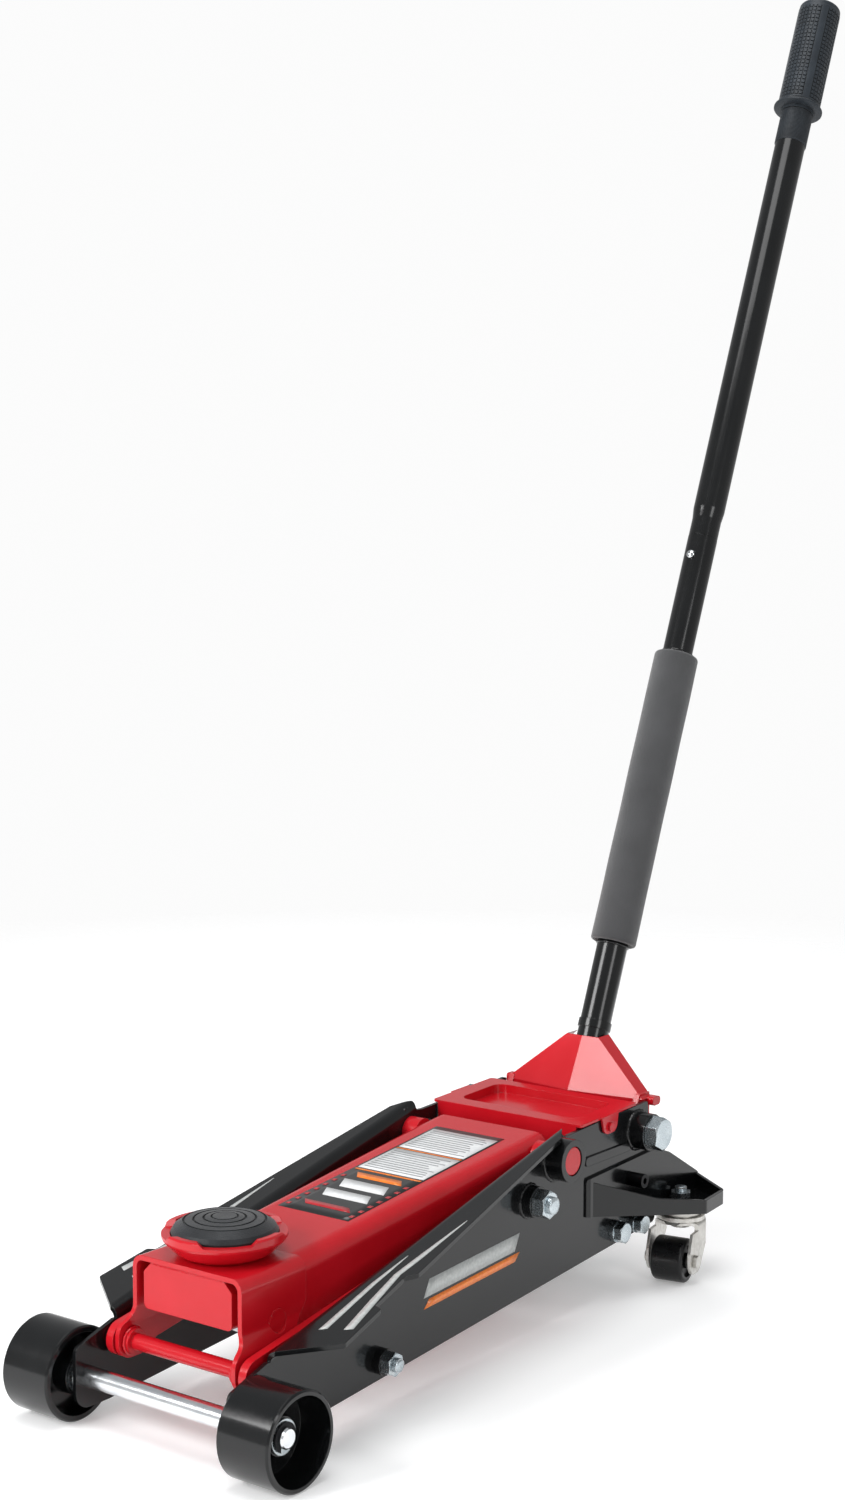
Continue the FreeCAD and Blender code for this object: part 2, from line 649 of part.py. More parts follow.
def socket_box():
    """Block welded under the head's top that holds the saddle's post and the pivot pin."""
    top = size("head_top") - size("head_gauge") - 0.02
    block = slab_y([
        (-50, 100, 5), (50, 100, 5), (50, top - 9, 2), (41, top, 2), (-41, top, 2), (-50, top - 9, 2),
    ], size("head_front") + 1, 104)
    block = block.cut(bar(size("pin_radius") + size("fixed_gap"), V(-80, pin.y, pin.z), X_AXIS, 160))
    return block.cut(bar(size("post_radius") + size("running_gap"), V(0, size("saddle_y"), 113), Z_AXIS, 40))


shaped("saddle_socket_box", socket_box())
node(rod_x("head_pin", "Sizes.pin_radius", "-Sizes.head_half - 0.8", "Sizes.head_half + 0.8",
           "Sizes.pin_y", "Sizes.pin_z"), "head_pivot_pin")

cross_shaft = new_body("head_cross_shaft_body")
collar_in = "Sizes.head_half - Sizes.head_gauge + 6.2"
revolved(cross_shaft, "cross_shaft_turned", "XZ_Plane", "H_Axis", [
    ("-Sizes.link_inner - Sizes.link_gauge - 2", "0"), ("Sizes.link_inner + Sizes.link_gauge + 2", "0"),
    ("Sizes.link_inner + Sizes.link_gauge + 2", "Sizes.link_pin_radius"),
    (collar_in, "Sizes.link_pin_radius"), (collar_in, "11"), (collar_in + " - 6", "11"),
    (collar_in + " - 6", "Sizes.link_pin_radius"),
    ("-(" + collar_in + ") + 6", "Sizes.link_pin_radius"), ("-(" + collar_in + ") + 6", "11"),
    ("-(" + collar_in + ")", "11"), ("-(" + collar_in + ")", "Sizes.link_pin_radius"),
    ("-Sizes.link_inner - Sizes.link_gauge - 2", "Sizes.link_pin_radius"),
])
bind(cross_shaft, Placement__Base__y=HEAD_LINK_Y, Placement__Base__z=HEAD_LINK_Z)
node(cross_shaft, "head_cross_shaft")

# ---------------------------------------------------------------- saddle


def saddle_cup():
    """Turned cup with a conical underside, a post, and a rim cut into four raised lips."""
    body = new_body("saddle_cup_body")
    cup = revolved(body, "saddle_turned", "XZ_Plane", "V_Axis", [
        ("0", "114"), ("Sizes.post_radius - 1", "114"), ("Sizes.post_radius", "115"),
        ("Sizes.post_radius", "Sizes.saddle_foot"), ("37", "Sizes.saddle_foot"),
        ("42", "Sizes.saddle_foot + 3"), ("Sizes.saddle_radius - 1", "Sizes.saddle_rim - 9"),
        ("Sizes.saddle_radius", "Sizes.saddle_rim - 7"), ("Sizes.saddle_radius", "Sizes.saddle_rim - 1.5"),
        ("Sizes.saddle_radius - 1.5", "Sizes.saddle_rim"), ("Sizes.pad_radius + 3", "Sizes.saddle_rim"),
        ("Sizes.pad_radius + 1", "Sizes.saddle_rim - 9"), ("0", "Sizes.saddle_rim - 9"),
    ])
    notch = profile(body, "saddle_notch_profile", "YZ_Plane", [
        ("-20", "Sizes.saddle_rim - 4.5"), ("-26", "Sizes.saddle_rim + 1"), ("26", "Sizes.saddle_rim + 1"),
        ("20", "Sizes.saddle_rim - 4.5"),
    ])
    doc.recompute()
    before = cup.Shape.Volume
    pocket = body.newObject("PartDesign::Pocket", "saddle_notch")
    pocket.Profile = notch
    pocket.Length = 80
    doc.recompute()
    if pocket.Shape.Volume > before - 1:
        pocket.Reversed = True
    around = body.newObject("PartDesign::PolarPattern", "saddle_notches")
    around.Originals = [pocket]
    around.Axis = (notch, ["V_Axis"])
    around.Angle = 360
    around.Occurrences = 4
    body.Tip = around
    body.Placement = FreeCAD.Placement(V(0, 0, 0), FreeCAD.Rotation(Z_AXIS, 45))
    bind(body, Placement__Base__y="Sizes.saddle_y")
    return node(body, "saddle_cup")


saddle_cup()


def saddle_pad():
    """Domed rubber pad with concentric ridges and a flat centre."""
    body = new_body("saddle_pad_body")
    outline = [("0", "Sizes.saddle_rim - 8.9"), ("Sizes.pad_radius + 0.7", "Sizes.saddle_rim - 8.9"),
               ("Sizes.pad_radius + 1.5", "Sizes.saddle_rim - 3"),
               ("Sizes.pad_radius - 1", "Sizes.saddle_rim + 1")]
    for ring, (outer, inner) in enumerate(((36, 34), (27.5, 25.5), (19, 17), (12, 10.5))):
        crest = f"Sizes.pad_top - {2.9 - 0.9 * ring:.1f}"
        outline += [(str(outer), crest), (str(outer), crest + " - 1.6"), (str(inner), crest + " - 1.6"),
                    (str(inner), crest + " + 0.15")]
    outline += [("8.5", "Sizes.pad_top"), ("0", "Sizes.pad_top")]
    revolved(body, "pad_turned", "XZ_Plane", "V_Axis", outline)
    bind(body, Placement__Base__y="Sizes.saddle_y")
    return node(body, "saddle_pad")


saddle_pad()

# ---------------------------------------------------------------- levelling links


def levelling_link(x0, x1):
    """Flat bar with round eyes that keeps the head level, one on each side of the arm."""
    direction = frame_link - head_link
    length = direction.Length
    angle = math.degrees(math.atan2(direction.z, direction.y))
    eye = size("link_eye")
    strip = slab_x([(-eye, -eye, eye - 0.1), (-eye, eye, eye - 0.1), (length + eye, eye, eye - 0.1),
                    (length + eye, -eye, eye - 0.1)], x0, x1)
    strip = strip.cut(bar(size("link_pin_radius") + size("running_gap"), V(x0 - 1, 0, 0), X_AXIS,
                          x1 - x0 + 2))
    strip = strip.cut(bar(size("stud_radius") + size("running_gap"), V(x0 - 1, length, 0), X_AXIS,
                          x1 - x0 + 2))
    strip.rotate(V(0, 0, 0), X_AXIS, angle)
    strip.translate(head_link)
    return strip


right_link = levelling_link(size("link_inner"), size("link_inner") + size("link_gauge"))
shaped("leveling_link_right", right_link)
shaped("leveling_link_left", flipped(right_link))

# ---------------------------------------------------------------- power unit


def power_unit():
    """Cast block across the frame: cylinder bore from the front, pump bore from the top, valve bores."""
    wing = plate_inner - 0.4
    base = slab_z([(-wing, 538, 6), (wing, 538, 6), (wing, 604, 6), (-wing, 604, 6)], 58, 82)
    front = slab_y([(-44, 58, 4), (44, 58, 4), (44, 128, 12), (-44, 128, 12)], 538, 584)
    rear = slab_z([(-44, 538, 4), (44, 538, 4), (44, 646, 8), (-44, 646, 8)], 58, size("block_top"))
    block = base.fuse([front, rear]).removeSplitter()
    ram = V(0, 530, size("ram_z"))
    block = block.cut(bar(size("cylinder_radius") + size("fixed_gap"), ram, Y_AXIS, 602.5 - 530))
    block = block.cut(bar(size("plunger_radius") + size("running_gap"), V(0, size("pump_y"), 62), Z_AXIS, 60))
    block = block.cut(bar(5.06, V(30, 628, 80), Z_AXIS, 40))
    block = block.cut(bar(6.03, V(-30, 620, 84), Z_AXIS, 40))
    block = block.cut(bar(6.03, V(28, 637, 72), Y_AXIS, 20))
    for y, z in UNIT_BOLTS:
        for x in (plate_inner - 30, -plate_inner + 30):
            side = X_AXIS if x > 0 else V(-1, 0, 0)
            block = block.cut(bar(6.03, V(x, y, z), side, 60))
    for x in (-SPRING_X, SPRING_X):
        block = block.cut(bar(2.53, V(x, ANCHOR_Y, 61.9), Z_AXIS, 40))
    return block


shaped("power_unit_block", power_unit())


def ram_cylinder():
    start, finish = 500, 602
    tube = bar(size("cylinder_radius"), V(0, start, size("ram_z")), Y_AXIS, finish - start)
    bore = bar(size("ram_radius") + 4, V(0, start - 1, size("ram_z")), Y_AXIS, finish - start - 4)
    return tube.cut(bore)


shaped("ram_cylinder", ram_cylinder())


def gland_nut():
    """Screwed ring that closes the cylinder's mouth and guides the ram."""
    mouth = V(0, 500, size("ram_z"))
    ring = bar(size("ram_radius") + 3.95, mouth - Y_AXIS * 2, Y_AXIS, 11)
    lip = bar(size("cylinder_radius"), mouth - Y_AXIS * 4, Y_AXIS, 3.95)
    return ring.fuse(lip).cut(bar(size("ram_radius") + size("running_gap"), mouth - Y_AXIS * 10, Y_AXIS, 40))


shaped("cylinder_gland_nut", gland_nut())


def piston_rod():
    """Ram with its piston inside the cylinder and a slotted crosshead that straddles the crank pin."""
    centre = V(0, crank_pin_at.y, size("ram_z"))
    rod = bar(size("ram_radius"), centre + Y_AXIS * 9.5, Y_AXIS, 588 - centre.y - 9.5)
    piston = bar(size("ram_radius") + 3.94, V(0, 584, size("ram_z")), Y_AXIS, 12.5)
    head = slab_x([(-13, -20, 4), (-13, 20, 4), (12, 20, 4), (12, -20, 4)], -24, 24)
    slot = slab_x([(-9.2, -14.6, 9.1), (-9.2, 14.6, 9.1), (9.2, 14.6, 9.1), (9.2, -14.6, 9.1)], -30, 30)
    head = head.cut(slot)
    head.translate(centre)
    return rod.fuse([piston, head]).removeSplitter()


shaped("piston_rod", piston_rod())

node(fuse("plunger_body",
          rod_z("plunger_stem", "Sizes.plunger_radius", "88", "137", "0", "Sizes.pump_y"),
          rod_z("plunger_cap", "13.5", "136", "140.4", "0", "Sizes.pump_y")), "pump_plunger")


def coil(mean_radius, wire, pitch, height, start):
    """A round-wire compression coil standing on start along Z."""
    path = Part.makeHelix(pitch, height, mean_radius)
    ring = Part.Wire(Part.makeCircle(wire, V(mean_radius, 0, 0), V(0, 1, 0)))
    spring = Part.Wire(path.Edges).makePipeShell([ring], True, True)
    spring.translate(start)
    return spring


shaped("plunger_spring", coil(11.5, 1.3, 5.4, 33, V(0, size("pump_y"), size("block_top") + 1.4)))


def return_spring():
    """Extension spring with an eye at each end, from the crank pin back to the power unit's anchor pin."""
    wire, front_eye, rear_eye = 1.2, 9.6, 4.2
    height = crank_pin_at.z
    first = crank_pin_at.y + front_eye + 3
    last = ANCHOR_Y - rear_eye - 3
    spring = coil(6, wire, 3.2, last - first - 4, V(0, 0, 0))
    spring.rotate(V(0, 0, 0), X_AXIS, -90)
    spring.translate(V(SPRING_X, first + 2, height))
    pieces = []
    for plug in (first, last - 4):
        pieces.append(bar(7.5, V(SPRING_X, plug, height), Y_AXIS, 4))
    pieces.append(bar(wire, V(SPRING_X, first - 3.2, height), Y_AXIS, 4))
    pieces.append(bar(wire, V(SPRING_X, last - 1, height), Y_AXIS, 4.2))
    pieces.append(Part.makeTorus(front_eye, wire, V(SPRING_X, crank_pin_at.y, height), X_AXIS))
    pieces.append(Part.makeTorus(rear_eye, wire, V(SPRING_X, ANCHOR_Y, height), Z_AXIS))
    return spring.fuse(pieces)


shaped("return_springs", Part.makeCompound([return_spring(), flipped(return_spring())]))

anchor = rod_z("anchor_pin", "2.5", "62", "112", str(SPRING_X), str(ANCHOR_Y))
both_sides("spring_anchor_pins", anchor)

node(fuse("valve_body",
          rod_z("valve_stem", "5", "82", "112", "30", "628"),
          bind(doc.addObject("Part::Box", "valve_key"), Length="14", Width="4", Height="5",
               Placement__Base__x="23", Placement__Base__y="626", Placement__Base__z="110")), "release_valve")
node(fuse("filler_body",
          rod_z("filler_stem", "6", "86", "101", "-30", "620"),
          rod_z("filler_cap", "9", "Sizes.block_top + 0.1", "107", "-30", "620")),
     "oil_filler_plug")
safety = fuse("safety_body",
              rod_y("safety_stem", "6", "640", "650", "28", "72"),
              rod_y("safety_cap", "9", "646.1", "654", "28", "72"))
node(safety, "safety_valve_cap")


def frame_bolt(name, across_flats, shank, y, z):
    """Hexagon-headed bolt screwed through the side plate into the power unit."""
    return fuse(name,
                rod_x(name + "_shank", shank, "Sizes.plate_outer - 26", "Sizes.plate_outer + 4", y, z),
                rod_x(name + "_washer", f"({across_flats}) * 0.57", "Sizes.plate_outer + 0.1",
                      "Sizes.plate_outer + 4.5", y, z),
                hexagon_x(name + "_hex", across_flats, "Sizes.plate_outer + 4", "Sizes.plate_outer + 13.5", y,
                          z))


both_sides("power_unit_bolts", group("unit_bolt_set", frame_bolt("front_unit_bolt", "19", "6", "552", "67"),
                                     frame_bolt("rear_unit_bolt", "17", "6", "588", "67")))

# ---------------------------------------------------------------- caster brackets and casters


def sheet_wall(a, b, bottom_a, top_a, bottom_b, top_b, gauge, inward, mid=None):
    """Upright sheet between plan points a and b; heights may change along it and at one middle station."""
    run = V(b[0] - a[0], b[1] - a[1], 0)
    points = [V(a[0], a[1], bottom_a), V(b[0], b[1], bottom_b), V(b[0], b[1], top_b)]
    if mid:
        share, height = mid
        points.append(V(a[0] + run.x * share, a[1] + run.y * share, height))
    points.append(V(a[0], a[1], top_a))
    face = Part.Face(Part.makePolygon(points + [points[0]]))
    normal = V(-run.y, run.x, 0).normalize() * (gauge * inward)
    return face.extrude(normal)


def caster_bracket():
    """Welded pan that carries a caster beside the frame: inner flange, level seat and upturned walls."""
    gauge = 3.5
    x0 = plate_outer
    seat = size("caster_seat")
    rim = seat + 14
    level_y = 621
    front_root, front_tip = (x0, 497), (143, 640)
    rear_tip, rear_root = (138, 685), (x0, 708)
    flange = slab_x([(497, 93.5, 0), (level_y, seat, 0), (708, seat, 2), (708, 94, 3), (650, 127, 6),
                     (625, 136, 6), (497, 131, 4)], x0, x0 + gauge)
    floor = slab_z([(x0, level_y, 0), (front_tip[0], front_tip[1], 6), (rear_tip[0], rear_tip[1], 6),
                    (x0, 708, 0)], seat, seat + gauge)
    ramp = Part.Face(Part.makePolygon([V(x0, 497, 93.5), V(front_tip[0], front_tip[1], seat),
                                       V(x0, level_y, seat),
                                       V(x0, 497, 93.5)])).extrude(V(0, 0, gauge))
    front = sheet_wall(front_root, front_tip, 93.5, 130, seat, rim, gauge, 1, (0.6, 98))
    tip = sheet_wall(front_tip, rear_tip, seat, rim, seat, rim, gauge, 1)
    rear = sheet_wall(rear_tip, rear_root, seat, rim, seat, 94, gauge, 1)
    pan = flange.fuse([floor, ramp, front, tip, rear]).removeSplitter()
    outside = slab_z([(x0, 490, 0), (x0 + 1, 495, 0), (front_tip[0], front_tip[1], 9),
                      (rear_tip[0], rear_tip[1], 9), (x0 + 1, 709, 0), (x0, 709, 0)], 50, 200)
    pan = pan.common(outside)
    pan = pan.cut(bar(6.03, V(size("caster_x"), size("caster_y"), 50), Z_AXIS, 60))
    pan = pan.cut(bar(4.03, V(x0 - 2, *BRACKET_SCREW), X_AXIS, 12))
    pan = pan.cut(bar(18.6, V(x0 - 2, yoke_pivot.y, yoke_pivot.z), X_AXIS, 12))
    return pan


right_bracket = caster_bracket()
shaped("caster_bracket_right", right_bracket)
shaped("caster_bracket_left", flipped(right_bracket))

bracket_screw = fuse("bracket_screw_body",
                     rod_x("bracket_screw_shank", "4", "Sizes.plate_outer - 6", "Sizes.plate_outer + 12",
                           "574", "116"),
                     rod_x("bracket_screw_head", "7", "Sizes.plate_outer + 3.6", "Sizes.plate_outer + 21",
                           "574", "116"))
screw_socket = bind(doc.addObject("Part::Prism", "bracket_screw_socket"), Circumradius="3.6", Height="6",
                    Placement__Base__x="Sizes.plate_outer + 16", Placement__Base__y="574",
                    Placement__Base__z="116")
screw_socket.Polygon = 6
turned(screw_socket, Y_AXIS, 90)
both_sides("bracket_screws", cut("bracket_screw", bracket_screw, screw_socket))

CASTER_X, CASTER_Y = "Sizes.caster_x", "Sizes.caster_y"
mount_plate = fuse("caster_mount_body",
                   rod_z("caster_stud", "6", "Sizes.caster_seat - 6", "Sizes.caster_seat + 19", CASTER_X,
                         CASTER_Y),
                   rod_z("caster_upper_plate", "26", "Sizes.caster_seat - 3.1", "Sizes.caster_seat - 0.1",
                         CASTER_X, CASTER_Y),
                   rod_z("caster_upper_race", "21", "Sizes.caster_seat - 8", "Sizes.caster_seat - 3",
                         CASTER_X, CASTER_Y),
                   rod_z("caster_king_pin", "6", "Sizes.caster_seat - 19.4", "Sizes.caster_seat - 4",
                         CASTER_X, CASTER_Y),
                   rod_z("caster_king_head", "10", "Sizes.caster_seat - 21.5", "Sizes.caster_seat - 19.3",
                         CASTER_X, CASTER_Y))
both_sides("caster_mount_plates", mount_plate)


def stud_hardware():
    """Lock washer and hexagon nut on each caster stud."""
    base = V(size("caster_x"), size("caster_y"), size("caster_seat") + 3.6)
    washer = bar(10.5, base, Z_AXIS, 1.6).cut(bar(6.03, base - Z_AXIS, Z_AXIS, 6))
    corners = [(11 * math.cos(math.radians(a)), 11 * math.sin(math.radians(a)), 0) for a in range(0, 360, 60)]
    nut = slab_z(corners, 0, 9).cut(bar(6.03, V(0, 0, -1), Z_AXIS, 12))
    nut.translate(base + Z_AXIS * 1.7)
    return [washer, nut]


hardware = stud_hardware()
shaped("caster_stud_nuts", Part.makeCompound(hardware + [flipped(piece) for piece in hardware]))


def fork_frame(sign):
    """Swivel axis and wheel centre of a caster; both casters are turned the same way by the last push."""
    turn = math.radians(size("caster_turn"))
    swivel = V(sign * size("caster_x"), size("caster_y"), 0)
    trail = V(math.sin(turn), -math.cos(turn), 0) * size("caster_trail")
    return swivel, swivel + trail + Z_AXIS * size("caster_radius")


def caster_fork():
    """Pressed fork about a swivel axis at the origin, trailing towards -Y; the axle height is true."""
    half, gauge, top = size("fork_half"), size("fork_gauge"), size("caster_seat") - 12.2
    hub_y, hub_z = -size("caster_trail"), size("caster_radius")
    strap = rounded_wire([(-half, 5, 0), (half, 5, 0), (half, top, 6), (-half, top, 6)],
                         lambda p: V(p.x, -60, p.y))
    hollow = rounded_wire([(-half + gauge, 0, 0), (half - gauge, 0, 0), (half - gauge, top - gauge, 3.2),
                           (-half + gauge, top - gauge, 3.2)], lambda p: V(p.x, -60, p.y))
    arch = Part.Face(strap).extrude(V(0, 120, 0)).cut(Part.Face(hollow).extrude(V(0, 120, 0)))
    side_view = slab_x([(hub_y - 13, hub_z - 13, 12.9), (hub_y - 13, hub_z + 10, 10), (-24, top + 1, 0),
                        (24, top + 1, 0), (24, top - 8, 6), (hub_y + 14, hub_z - 13, 12.9)], -40, 40)
    crown = bar(26, V(0, 0, 0), Z_AXIS, 80)
    arch = arch.common(side_view)
    legs_and_crown = arch.common(crown.fuse(Part.makeBox(80, 80, top - gauge - 6, V(-40, -70, 0))))
    cup = bar(25, V(0, 0, top - 0.1), Z_AXIS, 4.2).cut(bar(21.6, V(0, 0, top + 1.5), Z_AXIS, 10))
    fork = legs_and_crown.fuse(cup).removeSplitter()
    fork = fork.cut(bar(6 + size("running_gap"), V(0, 0, top - 10), Z_AXIS, 20))
    return fork.cut(bar(4 + size("fixed_gap"), V(-60, hub_y, hub_z), X_AXIS, 120))


def caster_axle():
    half = size("fork_half")
    hub = V(0, -size("caster_trail"), size("caster_radius"))
    axle_bar = bar(4, hub - X_AXIS * (half + 2), X_AXIS, 2 * half + 4)
    for x in (-half - 4, half + 0.1):
        axle_bar = axle_bar.fuse(bar(6.5, hub + X_AXIS * x, X_AXIS, 3.9))
    return axle_bar.removeSplitter()


def caster_wheel():
    """Crowned roller with recessed faces."""
    half = size("caster_width") / 2
    hub = V(0, -size("caster_trail"), size("caster_radius"))
    radius = size("caster_radius")
    section = rounded_wire([(-half, 4.06, 0), (half, 4.06, 0), (half, radius, 3.5), (-half, radius, 3.5)],
                           lambda p: hub + V(p.x, 0, p.y))
    wheel = Part.Face(section).revolve(hub, X_AXIS, 360)
    for x, direction in ((-half, 1), (half, -1)):
        face = hub + X_AXIS * x
        recess = bar(16.5, face, X_AXIS * direction, 3).cut(bar(8, face, X_AXIS * direction, 3))
        wheel = wheel.cut(recess)
    return wheel


def placed_on_caster(label, shape, sign):
    item = doc.addObject("Part::Feature", label + "_shape")
    item.Shape = shape
    swivel = fork_frame(sign)[0]
    item.Placement = FreeCAD.Placement(swivel, FreeCAD.Rotation(Z_AXIS, size("caster_turn")))
    return node(item, label)


for side, sign in RIGHT_AND_LEFT:
    placed_on_caster("caster_fork_" + side, caster_fork(), sign)
    placed_on_caster("caster_axle_" + side, caster_axle(), sign)
    placed_on_caster("caster_wheel_" + side, caster_wheel(), sign)

# ---------------------------------------------------------------- top tray


def top_tray():
    """Shallow pressed dish across the plates with a turned-down lip in front and a screw tab each side."""
    gauge = 2.5
    half = plate_outer + 0.4
    front, rear = 489, 591
    rise = 4 / 122
    sheet_top = slab_z([(-half, front, 3), (half, front, 3), (half, rear, 3), (-half, rear, 3)], 0, gauge)
    dish = slab_z([(-73, front + 16, 14), (73, front + 16, 14), (73, rear - 12, 14), (-73, rear - 12, 14)],
                  -9, gauge)
    well = slab_z([(-70.5, front + 18.5, 11.5), (70.5, front + 18.5, 11.5), (70.5, rear - 14.5, 11.5),
                   (-70.5, rear - 14.5, 11.5)], -9 + gauge, gauge + 1)
    lip_drop = 19
    lip = Part.makeBox(2 * half - 12, gauge, lip_drop + 1, V(-half + 6, front, -lip_drop))
    tray = sheet_top.fuse([dish, lip]).cut(well)
    for x in (-half - gauge, half):
        tab = slab_x([(523, gauge, 0), (553, gauge, 0), (549, -16, 9), (527, -16, 9)], x, x + gauge)
        tray = tray.fuse(tab)
    tray = tray.removeSplitter()
    tray.translate(V(0, 0, size("plate_top") + 0.6))
    tray.rotate(V(0, 490, size("plate_top")), X_AXIS, math.degrees(math.atan(rise)))
    return tray.cut(bar(2.53, V(-120, *TRAY_SCREW), X_AXIS, 240))


shaped("top_tray", top_tray())
tray_screw = fuse("tray_screw_body",
                  rod_x("tray_screw_shank", "2.5", "Sizes.plate_outer - 7", "Sizes.plate_outer + 4", "538",
                        "175.5"),
                  rod_x("tray_screw_head", "4.6", "Sizes.plate_outer + 3.1", "Sizes.plate_outer + 5.4",
                        "538", "175.5"))
both_sides("tray_screws", tray_screw)

# ---------------------------------------------------------------- yoke


def hood_loft(inset, drop):
    """Four-sided hood with a creased front, wide at the frame and narrow at the handle."""
    def ring(points, z):
        return Part.makePolygon([V(x, y, z) for x, y in points + points[:1]])
    base_z, top_z = 187 - drop, 240 + drop * 0.2
    wide, narrow = 84 - inset, 19.5 - inset * 0.6
    base = [(-wide, 628.5 + inset * 3), (-wide, 611 + inset), (0, 600 + inset), (wide, 611 + inset),
            (wide, 628.5 + inset * 3)]
    top = [(-narrow, 648 + inset * 3), (-narrow, 628 + inset * 0.4), (0, 627 + inset * 0.4),
           (narrow, 628 + inset * 0.4), (narrow, 648 + inset * 3)]
    return Part.makeLoft([ring(base, base_z), ring(top, top_z)], True, True)


def handle_yoke():
    """Folded hood on two cheeks that swing on the handle pivot bolts."""
    hood = hood_loft(0, 0).cut(hood_loft(3, 6))
    bore = bar(size("tube_radius") + 0.8, handle_point(100), handle_axis, 250)
    hood = hood.cut(bore)
    parts = []
    for x in (-80.5, 74.5):
        cheek = slab_x([
            (yoke_pivot.y - 17, yoke_pivot.z - 10, 12), (yoke_pivot.y - 17, yoke_pivot.z + 14, 14),
            (604, 176, 6), (611, 192, 0), (630, 192, 0), (yoke_pivot.y + 37, yoke_pivot.z - 14, 8),
            (yoke_pivot.y + 30, yoke_pivot.z - 22, 8), (yoke_pivot.y - 6, yoke_pivot.z - 18, 10),
        ], x, x + 6)
        parts.append(cheek)
    web = Part.makeBox(161, 3, 16, V(-80.5, 622, 176))
    web = web.cut(bar(size("socket_radius") + size("fixed_gap"), handle_point(100), handle_axis, 250))
    parts.append(web)
    for x in (-91, 80):
        parts.append(slab_x([(620, 180, 3), (620, 189, 3), (634, 189, 4), (634, 180, 4)], x, x + 11))
    yoke = hood.fuse(parts).removeSplitter()
    yoke = yoke.cut(bar(size("yoke_pin_radius") + size("running_gap"), yoke_pivot - X_AXIS * 100, X_AXIS,
                        200))
    yoke = yoke.cut(bar(size("socket_radius") + size("fixed_gap"), handle_point(150), handle_axis, 76))
    return yoke.cut(bar(5.03, V(-100, yoke_pivot.y + 28, yoke_pivot.z - 12), X_AXIS, 200))


shaped("handle_yoke", handle_yoke())


def along_handle(radius, low, high):
    """A round bar on the handle's axis between two heights of its axis points."""
    start = handle_point(low)
    return bar(radius, start, handle_axis, (handle_point(high) - start).Length)


def handle_tube(outer, inner, low, high):
    return along_handle(outer, low, high).cut(along_handle(inner, low - 5, high + 5))


gap = size("running_gap")
tube, upper_tube = size("tube_radius"), size("upper_tube_radius")
# The socket's front is planed off parallel to the hood's ridge, so that it fits inside.
inside_hood = slab_x([(598, 172.3, 0), (634, 243, 0), (700, 243, 0), (700, 150, 0), (598, 150, 0)], -40, 40)
shaped("handle_socket", handle_tube(size("socket_radius"), tube + gap, 172, 233).common(inside_hood))

roller_at = yoke_pivot + V(0, 28, -12)
shaped("roller_pin", bar(5, roller_at - X_AXIS * 80, X_AXIS, 160))
shaped("pump_roller", bar(8, roller_at - X_AXIS * 12, X_AXIS, 24).cut(
    bar(5 + gap, roller_at - X_AXIS * 20, X_AXIS, 40)))

# ---------------------------------------------------------------- handle

JOINT_HEIGHT = 756
GRIP_TOP = 1376
BUTTON_HEIGHT = 733
bore = tube - size("tube_wall")
collar = handle_tube(tube + 1.3, tube - 0.5, 243, 251)
lower_tube = handle_tube(tube, bore, 176, JOINT_HEIGHT).fuse(collar).removeSplitter()
front_facing = V(0, -math.cos(lean), math.sin(lean))
button_at = handle_point(BUTTON_HEIGHT)
button_hole = bar(4.6 + gap, button_at, front_facing, 30)
shaped("lower_handle_tube", lower_tube.cut(button_hole))

# The upper tube is necked down where it enters the lower one.
insert = handle_tube(bore - 0.1, bore - 2.1, 690, JOINT_HEIGHT + 20)
neck = handle_tube(tube - 0.2, bore - 2.1, JOINT_HEIGHT + 0.3, JOINT_HEIGHT + 20)
flare_foot = handle_point(JOINT_HEIGHT + 20)
flare_length = 12
flare = Part.makeCone(tube - 0.2, upper_tube, flare_length, flare_foot, handle_axis)
flare = flare.cut(bar(bore - 2.1, flare_foot - handle_axis, handle_axis, flare_length + 2))
stem_foot = flare_foot + handle_axis * flare_length
stem = handle_tube(upper_tube, bore - 2.1, stem_foot.z, GRIP_TOP - 8)
shaped("upper_handle_tube", insert.fuse([neck, flare, stem]).removeSplitter().cut(button_hole))


def spring_button():
    """Round detent button with a domed face, guided by aligned holes in both tubes."""
    shank = bar(4.6, button_at + front_facing * 6.5, front_facing, tube + 2.2 - 6.5)
    dome = Part.makeSphere(6.2).common(Part.makeCylinder(4.6, 8, V(0, 0, 4.158)))
    dome.Placement = FreeCAD.Placement(button_at + front_facing * (tube + 2.2 - 4.158),
                                       FreeCAD.Rotation(Z_AXIS, front_facing))
    foot = bar(6, button_at + front_facing * 5, front_facing, 2)
    return shank.fuse([dome, foot]).removeSplitter()


shaped("spring_button", spring_button())
shaped("foam_sleeve", handle_tube(size("foam_radius"), tube + 0.05, 329, 629))


def handle_grip():
    """Rubber grip with a guard flange at its lower end and a closed top."""
    sleeve = along_handle(size("grip_radius"), 1250, GRIP_TOP)
    guard = along_handle(size("grip_flange"), 1250, 1254)
    cuff = along_handle(upper_tube + 2, 1246, 1252)
    solid = sleeve.fuse([guard, cuff]).removeSplitter()
    edge = [e for e in solid.Edges if is_circle(e, size("grip_radius")) and e.CenterOfMass.z > GRIP_TOP - 5]
    solid = solid.makeFillet(2.5, edge)
    return solid.cut(along_handle(upper_tube + 0.05, 1200, GRIP_TOP - 7.5))


shaped("handle_grip", handle_grip())

# ---------------------------------------------------------------- check and write

doc.recompute()

failed = [item.Name for item in doc.Objects if "Invalid" in item.State or "Error" in item.State]
if failed:
    raise RuntimeError(f"objects that did not build: {failed}")
unsound = [item.Label for item in nodes
           if item.Shape.isNull() or not item.Shape.isValid() or not item.Shape.Solids]
if unsound:
    raise RuntimeError(f"sub-parts without a valid solid: {unsound}")
if len({item.Label for item in nodes}) != len(nodes):
    raise RuntimeError("two sub-parts share a label")

